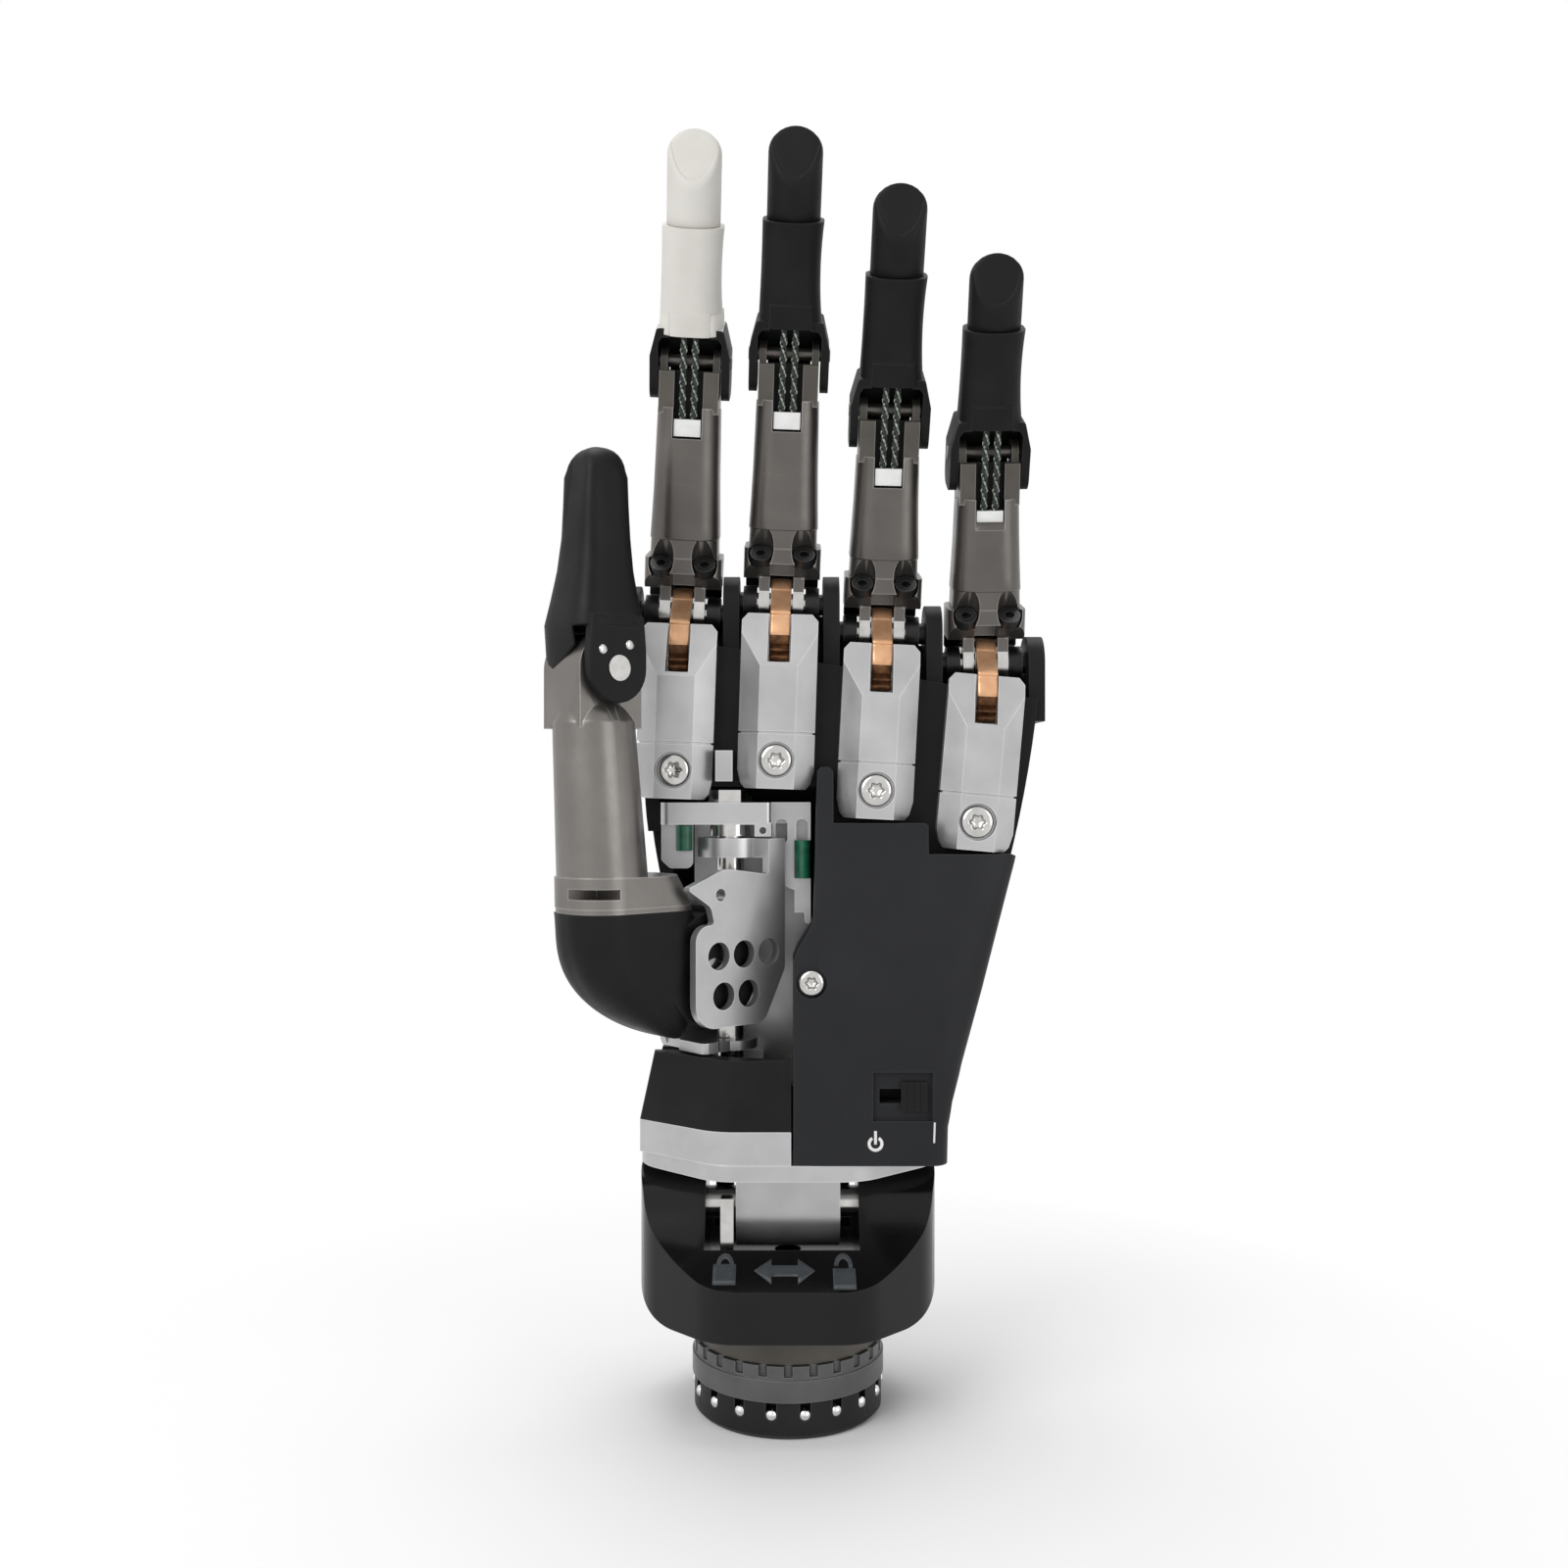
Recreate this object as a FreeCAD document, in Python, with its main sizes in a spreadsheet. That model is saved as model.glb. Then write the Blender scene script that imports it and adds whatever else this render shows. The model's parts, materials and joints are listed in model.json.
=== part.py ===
import FreeCAD, Part
import math
import os
import re
from FreeCAD import Placement, Rotation, Vector

document = FreeCAD.newDocument("bionic_hand")
sheet = document.addObject("Spreadsheet::Sheet", "Sizes")

# Sizes in millimetres and degrees
SIZES = {
    "running_gap": 0.05,
    "moving_gap": 0.35,
    "seat_gap": 0.02,
    "coupling_radius": 18.0,
    "cage_radius": 17.6,
    "cage_height": 6.8,
    "cage_floor": 2.0,
    "cage_cavity_radius": 13.0,
    "cage_chamfer": 0.8,
    "ball_radius": 1.2,
    "ball_level": 4.4,
    "ball_count": 18,
    "detent_height": 6.4,
    "detent_band": 4.0,
    "detent_step": 0.35,
    "scallop_radius": 0.8,
    "scallop_count": 24,
    "neck_radius": 17.0,
    "neck_height": 5.4,
    "journal_radius": 9.0,
    "collar_radius": 11.5,
    "collar_height": 3.0,
    "cable_radius": 2.5,
    "housing_half_width": 27.4,
    "housing_half_depth": 22.0,
    "housing_front_half": 13.3,
    "housing_side_half": 8.0,
    "housing_corner": 11.0,
    "housing_flank": 6.5,
    "housing_front_height": 9.2,
    "scoop_depth": 2.6,
    "wrist_pivot_height": 19.3,
    "wrist_barrel_radius": 8.0,
    "wrist_pin_radius": 3.0,
    "wrist_pin_half": 24.0,
    "lug_half_width": 9.6,
    "pocket_left": 15.2,
    "pocket_right": 13.0,
    "pocket_half_depth": 13.0,
    "pocket_below_pivot": 9.0,
    "lock_width": 2.4,
    "lock_depth": 2.8,
    "lock_height": 12.3,
    "ring_above_pivot": 8.7,
    "ring_thickness": 2.9,
    "ring_inset": 0.1,
    "ring_half_depth": 20.0,
    "ring_front_half": 13.0,
    "ring_side_half": 7.0,
    "ring_corner": 10.0,
    "band_height": 5.9,
    "band_wall": 3.0,
    "band_end": 0.5,
    "cover_seam": 0.4,
    "wrist_cover_height": 12.5,
    "wrist_cover_taper": 2.7,
    "palm_wall": 2.4,
    "palm_front": 20.0,
    "deck_front": 7.0,
    "deck_thickness": 3.0,
    "shell_wall": 2.6,
    "ear_thickness": 3.0,
    "ear_half_depth": 6.0,
    "ear_above_axle": 5.0,
    "shell_below_axle": 5.6,
    "axle_radius": 2.0,
    "axle_half": 9.3,
    "drum_radius": 4.4,
    "drum_half": 1.9,
    "strip_half": 1.55,
    "strip_thickness": 0.3,
    "strip_gap": 0.12,
    "spacer_radius": 3.2,
    "hub_inner": 2.2,
    "hub_width": 2.0,
    "hub_radius": 4.6,
    "flange_width": 14.2,
    "flange_bottom": 5.2,
    "flange_top": 11.0,
    "flange_front": 6.3,
    "flange_back": 6.4,
    "flange_lip": 3.0,
    "flange_corner": 2.4,
    "screw_tilt": 35.0,
    "screw_spread": 4.0,
    "screw_head_radius": 2.0,
    "screw_head_height": 2.1,
    "screw_shank_radius": 1.0,
    "screw_shank_length": 3.6,
    "screw_key_radius": 1.0,
    "tube_width_low": 12.6,
    "tube_width_high": 11.4,
    "tube_depth_low": 13.0,
    "tube_depth_high": 11.6,
    "tube_corner": 4.2,
    "tube_end": 8.2,
    "tongue_half": 5.4,
    "tongue_half_depth": 4.6,
    "tongue_shelf": 1.7,
    "tongue_eye_radius": 2.3,
    "tongue_eye_width": 1.3,
    "motor_radius": 4.4,
    "motor_end_gap": 0.8,
    "slot_width": 5.2,
    "slot_floor": 2.4,
    "slot_below_pin": 13.6,
    "guide_width": 4.8,
    "guide_height": 3.0,
    "guide_depth": 3.0,
    "cord_radius": 0.62,
    "cord_spread": 1.05,
    "cord_tilt": 5.0,
    "cord_level": 4.2,
    "cord_above_pin": 6.4,
    "pin_radius": 1.2,
    "pin_proud": 0.2,
    "fork_gap": 0.3,
    "fork_thickness": 1.5,
    "fork_half_depth": 4.4,
    "fork_below_pin": 6.4,
    "fork_crown": 4.9,
    "arm_bend": 1.6,
    "arm_inner_bend": 3.9,
    "shoulder_height": 1.6,
    "shoulder_round": 1.7,
    "sleeve_width": 11.5,
    "sleeve_depth": 11.4,
    "sleeve_width_top": 10.8,
    "sleeve_depth_top": 10.4,
    "sleeve_corner": 4.2,
    "waist_share": 0.55,
    "waist_width": 10.5,
    "waist_depth": 10.6,
    "waist_shift": 0.2,
    "cap_radius": 4.7,
    "cap_round": 2.0,
    "cap_spigot_radius": 3.8,
    "cap_spigot_length": 4.0,
    "pad_slope": 42.0,
    "pad_top_back": 1.3,
    "meta_half_width": 7.0,
    "meta_facet_half": 4.0,
    "meta_thickness": 6.0,
    "meta_side": 3.2,
    "meta_below_axle": 2.8,
    "meta_length": 32.2,
    "meta_facet_length": 9.9,
    "meta_facet_depth": 4.5,
    "meta_slot_half": 2.1,
    "meta_slot_length": 9.2,
    "meta_slot_floor": 0.8,
    "meta_seam_up": 10.0,
    "meta_seam_width": 0.4,
    "meta_seam_depth": 0.5,
    "meta_screw_up": 5.2,
    "meta_corner": 3.2,
    "torx_radius": 2.95,
    "torx_height": 1.5,
    "torx_recess_gap": 0.5,
    "torx_shank_radius": 1.5,
    "torx_key_radius": 1.35,
    "rest_bend": 15.0,
    "rest_tip_bend": 13.0,
    "index_x": -19.8,
    "index_z": 149.2,
    "index_lean": 2.9,
    "index_cover_lean": 2.0,
    "index_length": 46.1,
    "index_tip_length": 39.0,
    "index_cap_length": 15.5,
    "middle_x": -1.3,
    "middle_z": 151.0,
    "middle_lean": 2.0,
    "middle_cover_lean": 1.8,
    "middle_length": 45.6,
    "middle_tip_length": 38.2,
    "middle_cap_length": 15.0,
    "ring_x": 17.5,
    "ring_z": 145.5,
    "ring_lean": 1.4,
    "ring_cover_lean": 3.0,
    "ring_length": 41.0,
    "ring_tip_length": 38.8,
    "ring_cap_length": 15.0,
    "little_x": 36.9,
    "little_z": 139.7,
    "little_lean": -0.7,
    "little_cover_lean": 5.0,
    "little_length": 39.2,
    "little_tip_length": 34.7,
    "little_cap_length": 12.5,
    "thumb_x": -10.7,
    "thumb_y": -6.0,
    "thumb_turn": 222.0,
    "thumb_axle_radius": 2.5,
    "thumb_axle_top": 113.5,
    "thumb_nut_flats": 7.0,
    "thumb_nut_height": 2.3,
    "frame_bar_height": 4.0,
    "bridge_height": 5.6,
    "frame_left": -23.3,
    "frame_right": 4.2,
    "frame_front": 11.0,
    "frame_back": 6.0,
    "frame_plate": 2.5,
    "foot_gap": 2.8,
    "frame_foot_height": 7.0,
    "frame_strip": 3.0,
    "frame_step": -3.1,
    "frame_face": 5.0,
    "frame_face_thickness": 1.8,
    "frame_slot_width": 2.2,
    "frame_slot_height": 4.6,
    "frame_tab_width": 3.0,
    "frame_leg_width": 5.8,
    "frame_leg_drop": 8.1,
    "frame_leg_front": 8.4,
    "lug_radius": 6.0,
    "lug_top": 107.0,
    "lug_thickness": 3.5,
    "lower_lug_bottom": 68.3,
    "lower_lug_thickness": 1.7,
    "cheek_inner": 8.7,
    "cheek_thickness": 1.6,
    "cheek_near": -4.4,
    "cheek_far": 16.4,
    "cheek_bottom": 74.0,
    "cheek_top": 92.2,
    "cheek_corner": 4.5,
    "cheek_hole_radius": 2.45,
    "cheek_hole_pitch": 5.8,
    "cheek_hole_rise": 7.1,
    "cheek_hole_out": 5.4,
    "cheek_hole_shift": 1.8,
    "cheek_slant_out": 0.6,
    "cheek_slant_up": 83.5,
    "clamp_far": 9.5,
    "clamp_front": 4.0,
    "clamp_height": 1.9,
    "clamp_split": 0.4,
    "pivot_knob_top": 72.4,
    "web_far": -0.4,
    "fin_root_out": 12.2,
    "fin_top_out": 9.8,
    "fin_top_up": 102.0,
    "fin_tip_out": 18.4,
    "fin_tip_up": 98.7,
    "fin_hole_out": 10.8,
    "fin_hole_up": 97.4,
    "fin_hole_radius": 1.1,
    "hood_bottom": 95.2,
    "hood_thickness": 1.6,
    "hood_far": 10.6,
    "hub_axis_out": 10.0,
    "hub_axis_up": 84.0,
    "thumb_hub_radius": 10.2,
    "thumb_hub_half": 7.6,
    "hub_pin_radius": 2.0,
    "elbow_top": 94.8,
    "elbow_centre": 24.2,
    "elbow_half_long": 12.5,
    "elbow_half_wide": 8.2,
    "thumb_flange_height": 6.2,
    "thumb_ring_height": 0.9,
    "thumb_slot_width": 1.7,
    "thumb_tube_out": 28.8,
    "thumb_tube_lean": 4.0,
    "thumb_tube_radius_low": 7.7,
    "thumb_tube_radius_high": 6.9,
    "thumb_tube_top": 127.4,
    "tip_axis_out": 30.2,
    "tip_axis_up": 136.5,
    "thumb_tongue_half": 4.6,
    "thumb_tongue_far": 6.4,
    "thumb_tongue_radius": 6.4,
    "thumb_pin_radius": 2.2,
    "thumb_fork_thickness": 1.9,
    "thumb_fork_radius": 5.9,
    "thumb_tip_length": 38.3,
    "stud_radius": 0.85,
    "stud_proud": 0.2,
    "thumb_sleeve_bottom": 7.0,
    "thumb_sleeve_width": 12.6,
    "thumb_sleeve_depth": 12.6,
    "thumb_top_width": 9.8,
    "thumb_top_depth": 9.0,
    "board_thickness": 1.6,
    "wire_radius": 1.5,
    "switch_x": 20.2,
    "switch_z": 61.8,
    "switch_width": 10.6,
    "switch_height": 8.6,
    "switch_recess": 0.9,
    "knob_width": 4.6,
    "knob_height": 5.2,
    "knob_proud": 0.5,
    "groove_pitch": 1.2,
    "groove_width": 0.5,
    "groove_depth": 0.25,
    "switch_travel": 3.0,
    "palm_screw_x": 4.1,
    "palm_screw_z": 81.8,
    "palm_screw_radius": 2.25,
}
for row, (alias, value) in enumerate(SIZES.items(), 1):
    sheet.set("A%d" % row, alias)
    sheet.set("B%d" % row, str(value))
    sheet.setAlias("B%d" % row, alias)
document.recompute()
size = {alias: float(sheet.get(alias)) for alias in SIZES}
word = re.compile(r"[a-z][a-z_]*")


def formula(text):
    """An expression in which each name of a size stands for its cell."""
    return word.sub(lambda m: "Sizes." + m.group(0) if m.group(0) in SIZES else m.group(0), str(text))


def bind(item, **texts):
    for name, text in texts.items():
        item.setExpression(name.replace("_at_", "."), formula(text))
    return item


def at(item, corner):
    """Ties an item's place to sizes, one formula for each direction."""
    for direction, text in zip("xyz", corner):
        item.setExpression(".Placement.Base." + direction, formula(text))
    return item


TURNS = {"X": Rotation(Vector(0, 1, 0), 90), "Y": Rotation(Vector(1, 0, 0), -90), "Z": Rotation()}


def block(name, corner, sides):
    item = document.addObject("Part::Box", name)
    bind(item, Length=sides[0], Width=sides[1], Height=sides[2])
    return at(item, corner)


def rod(name, radius, length, start, axis="Z"):
    item = document.addObject("Part::Cylinder", name)
    bind(item, Radius=radius, Height=length)
    item.Placement = Placement(Vector(), TURNS[axis])
    return at(item, start)


def aimed_rod(name, radius, length, start, direction):
    """A cylinder from a point along any direction."""
    item = document.addObject("Part::Cylinder", name)
    bind(item, Radius=radius, Height=length)
    item.Placement = Placement(Vector(*start), Rotation(Vector(0, 0, 1), Vector(*direction)))
    return item


def ball(name, radius, centre):
    item = document.addObject("Part::Sphere", name)
    bind(item, Radius=radius)
    item.Placement = Placement(Vector(*centre), Rotation())
    return item


def cut(name, base, *tools):
    tool = tools[0] if len(tools) == 1 else fuse(name + "_tools", *tools)
    item = document.addObject("Part::Cut", name)
    item.Base = base
    item.Tool = tool
    return item


def fuse(name, *items):
    item = document.addObject("Part::MultiFuse", name)
    item.Shapes = list(items)
    return item


def common(name, *items):
    item = document.addObject("Part::MultiCommon", name)
    item.Shapes = list(items)
    return item


def group(name, *items):
    item = document.addObject("Part::Compound", name)
    item.Links = list(items)
    return item


def path(points):
    """Lines and arcs around a closed outline; a third number rounds that corner."""
    ends = []
    for i, point in enumerate(points):
        here = Vector(point[0], point[1], 0)
        radius = point[2] if len(point) > 2 else 0
        if not radius:
            ends.append((here, None, here))
            continue
        last = points[i - 1]
        following = points[(i + 1) % len(points)]
        a = (Vector(last[0], last[1], 0) - here).normalize()
        b = (Vector(following[0], following[1], 0) - here).normalize()
        half = a.getAngle(b) / 2
        reach = radius / math.tan(half)
        middle = here + (a + b).normalize() * (radius / math.sin(half) - radius)
        ends.append((here + a * reach, middle, here + b * reach))
    drawn = []
    for i, (first, middle, final) in enumerate(ends):
        if middle is not None:
            drawn.append(Part.Arc(first, middle, final))
        target = ends[(i + 1) % len(ends)][0]
        if (target - final).Length > 1e-5:
            drawn.append(Part.LineSegment(final, target))
    return drawn


VIEWS = {
    "top": Rotation(),
    "front": Rotation(Vector(1, 0, 0), 90),
    "side": Rotation(Vector(1, 1, 1), 120),
}
NORMALS = {"top": Vector(0, 0, 1), "front": Vector(0, -1, 0), "side": Vector(1, 0, 0)}


def drawing(name, geometry, view, offset):
    item = document.addObject("Sketcher::SketchObject", name)
    item.addGeometry(geometry, False)
    item.Placement = Placement(NORMALS[view] * offset, VIEWS[view])
    return item


def prism(name, points, view, start, length):
    """An outline drawn in one view and extruded towards the viewer's side of it."""
    geometry = points if not isinstance(points[0], tuple) else path(points)
    item = document.addObject("Part::Extrusion", name)
    item.Base = drawing(name + "_outline", geometry, view, start)
    item.DirMode = "Normal"
    item.Solid = True
    return bind(item, LengthFwd=length)


def loft(name, sections, ruled=True):
    """Outlines at rising heights, joined to one solid."""
    item = document.addObject("Part::Loft", name)
    item.Sections = [
        drawing("%s_section_%d" % (name, i), path(points), "top", height)
        for i, (height, points) in enumerate(sections)
    ]
    item.Solid = True
    item.Ruled = ruled
    return item


def rounded(width, depth, corner, x=0.0, y=0.0):
    """The corners of a rounded rectangle about a centre."""
    a = width / 2
    b = depth / 2
    return [(x - a, y - b, corner), (x + a, y - b, corner), (x + a, y + b, corner), (x - a, y + b, corner)]


def oval(half_width, half_depth, front_half, side_half, corner):
    return [
        (-front_half, -half_depth, corner),
        (front_half, -half_depth, corner),
        (half_width, -side_half, corner),
        (half_width, side_half, corner),
        (front_half, half_depth, corner),
        (-front_half, half_depth, corner),
        (-half_width, side_half, corner),
        (-half_width, -side_half, corner),
    ]


PARTS = []


def keep(item, label, place=None):
    """Names a finished sub-part and puts it in its place."""
    item.Label = label
    if place is not None:
        item.Placement = place
    PARTS.append(item)
    return item


def origin_feature(body, role):
    return next(o for o in body.Origin.OriginFeatures if o.Role == role)


def turned_body(name, points):
    """A body made by turning an outline of radius and height about the upright axis."""
    body = document.addObject("PartDesign::Body", name)
    sketch = body.newObject("Sketcher::SketchObject", name + "_profile")
    sketch.AttachmentSupport = [(origin_feature(body, "XZ_Plane"), "")]
    sketch.MapMode = "FlatFace"
    sketch.addGeometry(path(points), False)
    turn = body.newObject("PartDesign::Revolution", name + "_turn")
    turn.Profile = sketch
    turn.ReferenceAxis = (sketch, ["V_Axis"])
    turn.Angle = 360
    sketch.Visibility = False
    return body


def repeated(body, features, count):
    """Repeats cuts evenly around the upright axis."""
    pattern = body.newObject("PartDesign::PolarPattern", body.Name + "_pattern")
    pattern.Originals = features
    pattern.Axis = (origin_feature(body, "Z_Axis"), [""])
    pattern.Angle = 360
    bind(pattern, Occurrences=count)
    body.Tip = pattern


# Coupling
cage_top = size["cage_height"]
detent_top = cage_top + size["detent_height"]
neck_top = detent_top + size["running_gap"] + size["neck_height"]
ball_circle = size["coupling_radius"] - size["ball_radius"]
cage = turned_body(
    "ball_cage",
    [
        (0, 0),
        (size["cage_radius"] - size["cage_chamfer"], 0),
        (size["cage_radius"], size["cage_chamfer"]),
        (size["cage_radius"], cage_top),
        (size["cage_cavity_radius"], cage_top),
        (size["cage_cavity_radius"], size["cage_floor"]),
        (0, size["cage_floor"]),
    ],
)
seat = cage.newObject("PartDesign::SubtractiveSphere", "ball_seat")
bind(seat, Radius="ball_radius + seat_gap")
seat.Placement = Placement(Vector(ball_circle, 0, size["ball_level"]), Rotation())
mouth = cage.newObject("PartDesign::SubtractiveCylinder", "ball_mouth")
bind(mouth, Radius="ball_radius + seat_gap", Height="cage_height - ball_level + 1")
mouth.Placement = Placement(Vector(ball_circle, 0, size["ball_level"]), Rotation())
repeated(cage, [seat, mouth], "ball_count")
keep(cage, "ball_cage")

balls = []
for i in range(int(size["ball_count"])):
    angle = 2 * math.pi * i / int(size["ball_count"])
    centre = (ball_circle * math.cos(angle), ball_circle * math.sin(angle), size["ball_level"])
    balls.append(ball("coupling_ball_%d" % i, "ball_radius", centre))
keep(group("coupling_balls", *balls), "coupling_balls")

ring_edge = size["coupling_radius"] - size["detent_step"]
detent = turned_body(
    "detent_ring",
    [
        (size["journal_radius"] + size["running_gap"], cage_top),
        (size["coupling_radius"], cage_top),
        (size["coupling_radius"], cage_top + size["detent_band"]),
        (ring_edge, cage_top + size["detent_band"]),
        (ring_edge, detent_top),
        (size["journal_radius"] + size["running_gap"], detent_top),
    ],
)
scallop = detent.newObject("PartDesign::SubtractiveCylinder", "scallop")
bind(scallop, Radius="scallop_radius", Height="detent_height")
scallop.Placement = Placement(Vector(ring_edge, 0, cage_top + size["detent_band"] + 0.5), Rotation())
repeated(detent, [scallop], "scallop_count")
keep(detent, "detent_ring")

collar_top = cage_top - size["moving_gap"]
neck = turned_body(
    "wrist_neck",
    [
        (size["cable_radius"], collar_top - size["collar_height"]),
        (size["collar_radius"], collar_top - size["collar_height"]),
        (size["collar_radius"], collar_top),
        (size["journal_radius"], collar_top),
        (size["journal_radius"], detent_top + size["running_gap"]),
        (size["neck_radius"], detent_top + size["running_gap"]),
        (size["neck_radius"], neck_top),
        (size["cable_radius"], neck_top),
    ],
)
keep(neck, "wrist_neck")

# Wrist housing with its scoops, pocket and hinge pin
pivot = neck_top + size["wrist_pivot_height"]
ring_bottom = pivot + size["ring_above_pivot"]
ring_top = ring_bottom + size["ring_thickness"]
front_top = neck_top + size["housing_front_height"]
deep = size["housing_half_depth"]
barrel = size["wrist_barrel_radius"]
edge_y = barrel * math.cos(math.radians(26))
edge_z = pivot + barrel * math.sin(math.radians(26))
chord = Vector(deep - edge_y, edge_z - front_top, 0)
inward = Vector(chord.y, -chord.x, 0).normalize() * size["scoop_depth"]
middle_y = (deep + edge_y) / 2 - inward.x
middle_z = (front_top + edge_z) / 2 + inward.y
profile = [
    Part.LineSegment(Vector(-deep, neck_top, 0), Vector(deep, neck_top, 0)),
    Part.LineSegment(Vector(deep, neck_top, 0), Vector(deep, front_top, 0)),
    Part.Arc(Vector(deep, front_top, 0), Vector(middle_y, middle_z, 0), Vector(edge_y, edge_z, 0)),
    Part.Arc(Vector(edge_y, edge_z, 0), Vector(0, pivot + barrel, 0), Vector(-edge_y, edge_z, 0)),
    Part.Arc(Vector(-edge_y, edge_z, 0), Vector(-middle_y, middle_z, 0), Vector(-deep, front_top, 0)),
    Part.LineSegment(Vector(-deep, front_top, 0), Vector(-deep, neck_top, 0)),
]
side_body = prism("housing_side", profile, "side", -40.0, "80")
plan_body = prism(
    "housing_plan",
    oval(
        size["housing_half_width"],
        deep,
        size["housing_front_half"],
        size["housing_side_half"],
        size["housing_corner"],
    ),
    "top",
    neck_top,
    "60",
)
pocket = block(
    "wrist_pocket",
    ("-pocket_left", "-pocket_half_depth", str(pivot) + " - pocket_below_pivot"),
    ("pocket_left + pocket_right", "pocket_half_depth * 2", "40"),
)
pin_bore = rod("wrist_pin_bore", "wrist_pin_radius + seat_gap", "80", ("-40", "0", pivot), "X")
cable_bore = rod("housing_cable_bore", "cable_radius", "40", ("0", "0", neck_top - 1))
broad = size["housing_half_width"]
flank = size["housing_flank"]
front_body = prism(
    "housing_front",
    [(-broad, neck_top, flank), (broad, neck_top, flank), (broad, pivot + 40), (-broad, pivot + 40)],
    "front",
    -60.0,
    "120",
)
solid = common("housing_solid", side_body, plan_body, front_body)
keep(cut("wrist_housing", solid, pocket, pin_bore, cable_bore), "wrist_housing")
keep(rod("wrist_pin", "wrist_pin_radius", "wrist_pin_half * 2", ("-wrist_pin_half", "0", pivot), "X"), "wrist_pin")

lock_floor = pivot - size["pocket_below_pivot"] + size["running_gap"]
lock = block(
    "wrist_lock_slider",
    ("-lug_half_width - moving_gap - lock_width", "-wrist_barrel_radius - lock_depth", lock_floor),
    ("lock_width", "lock_depth", "lock_height"),
)
keep(lock, "wrist_lock_slider")

# Silver ring with the hinge lug under it
ring_half = size["housing_half_width"] - size["ring_inset"]
ring_plate = prism(
    "ring_plate",
    oval(ring_half, size["ring_half_depth"], size["ring_front_half"], size["ring_side_half"], size["ring_corner"]),
    "top",
    ring_bottom,
    "ring_thickness",
)
lug = prism(
    "ring_lug",
    [
        (-barrel, ring_bottom + 0.5),
        (-barrel, pivot - barrel, barrel - 0.01),
        (barrel, pivot - barrel, barrel - 0.01),
        (barrel, ring_bottom + 0.5),
    ],
    "side",
    -size["lug_half_width"],
    "lug_half_width * 2",
)
lug_bore = rod("lug_bore", "wrist_pin_radius + running_gap", "80", ("-40", "0", pivot), "X")
keep(cut("wrist_ring", fuse("ring_and_lug", ring_plate, lug), lug_bore), "wrist_ring")

# Silver band and black cover at the front left of the wrist
deck = size["deck_front"]
band_top = ring_top + size["band_height"]


def front_left(width, front, end, back):
    return [
        (end, -front),
        (end, -back),
        (-width, -back),
        (-width, -back - 1.5, 1.0),
        (-size["ring_front_half"] * width / ring_half, -front, size["ring_corner"]),
    ]


wide = ring_half - 0.1
front = size["ring_half_depth"] - 0.1
wall = size["band_wall"]
band_end = size["band_end"]
back_line = deck + size["cover_seam"]
band_body = prism("band_body", front_left(wide, front, band_end, back_line), "top", ring_top, "band_height")
band_room = prism(
    "band_room",
    front_left(wide - wall, front - wall, band_end + 5, back_line - 5),
    "top",
    ring_top - 1,
    "band_height + 2",
)
keep(cut("wrist_band", band_body, band_room), "wrist_band")
cover_top = band_top + size["wrist_cover_height"]
taper = size["wrist_cover_taper"]
cover_body = loft(
    "wrist_cover_body",
    [
        (band_top, front_left(wide, front, band_end, back_line)),
        (cover_top, front_left(wide - taper, front - 0.5, band_end, back_line)),
    ],
)
cover_room = loft(
    "wrist_cover_room",
    [
        (band_top - 1, front_left(wide - wall, front - wall, band_end + 5, back_line - 5)),
        (cover_top + 1, front_left(wide - taper - wall, front - 0.5 - wall, band_end + 5, back_line - 5)),
    ],
)
keep(cut("wrist_cover", cover_body, cover_room), "wrist_cover")

# Palm cover
palm_left = band_end + size["cover_seam"]
palm_outline = [
    (palm_left, ring_top),
    (28.3, ring_top),
    (28.9, 60.0, 20.0),
    (41.9, 104.2, 2.0),
    (25.4, 104.2),
    (25.4, 109.8, 0.8),
    (8.2, 109.8, 0.5),
    (8.2, 120.0, 1.2),
    (5.3, 120.0, 1.0),
    (4.6, 92.0, 2.0),
    (1.5, 86.8, 2.0),
    (palm_left, 80.0, 2.0),
]
palm_room_outline = [
    (palm_left + 3.2, ring_top - 2),
    (28.3 - size["palm_wall"], ring_top - 2),
    (28.9 - size["palm_wall"], 60.0, 20.0),
    (40.0 - size["palm_wall"], 101.8),
    (9.0, 101.8),
    (9.0, 94.0),
    (palm_left + 8.0, 90.0),
    (palm_left + 8.0, 74.0),
    (palm_left + 3.2, 70.0),
]
palm_face = size["palm_front"]


def palm_side(depth):
    """The palm's outline from the side, set back by a depth."""
    return [
        (-deck, ring_top - 4),
        (-palm_face + depth, ring_top - 4),
        (-palm_face + depth - 0.5, 66.0, 40.0),
        (-palm_face + depth + 0.8, 86.0, 30.0),
        (-12.6 + depth, 106.0, 20.0),
        (-11.0 + depth, 121.0),
        (-deck, 121.0),
    ]


palm_body = common(
    "palm_body",
    prism("palm_face", palm_outline, "front", deck, "40"),
    prism("palm_profile", palm_side(0.0), "side", -40.0, "100"),
)
palm_room = common(
    "palm_room",
    prism("palm_room_face", palm_room_outline, "front", deck - 1, "40"),
    prism("palm_room_profile", palm_side(size["palm_wall"]), "side", -40.0, "100"),
)
switch_front = palm_face + 0.4
switch_recess = block(
    "switch_recess",
    ("switch_x - switch_width / 2", "-" + str(switch_front + 3) + "", "switch_z - switch_height / 2"),
    ("switch_width", "3 + switch_recess", "switch_height"),
)
switch_slot = block(
    "switch_slot",
    ("switch_x - switch_width / 2 + 1.2", "-" + str(switch_front + 3), "switch_z - 1.3"),
    ("switch_width - 2.4", "10", "2.6"),
)
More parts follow.
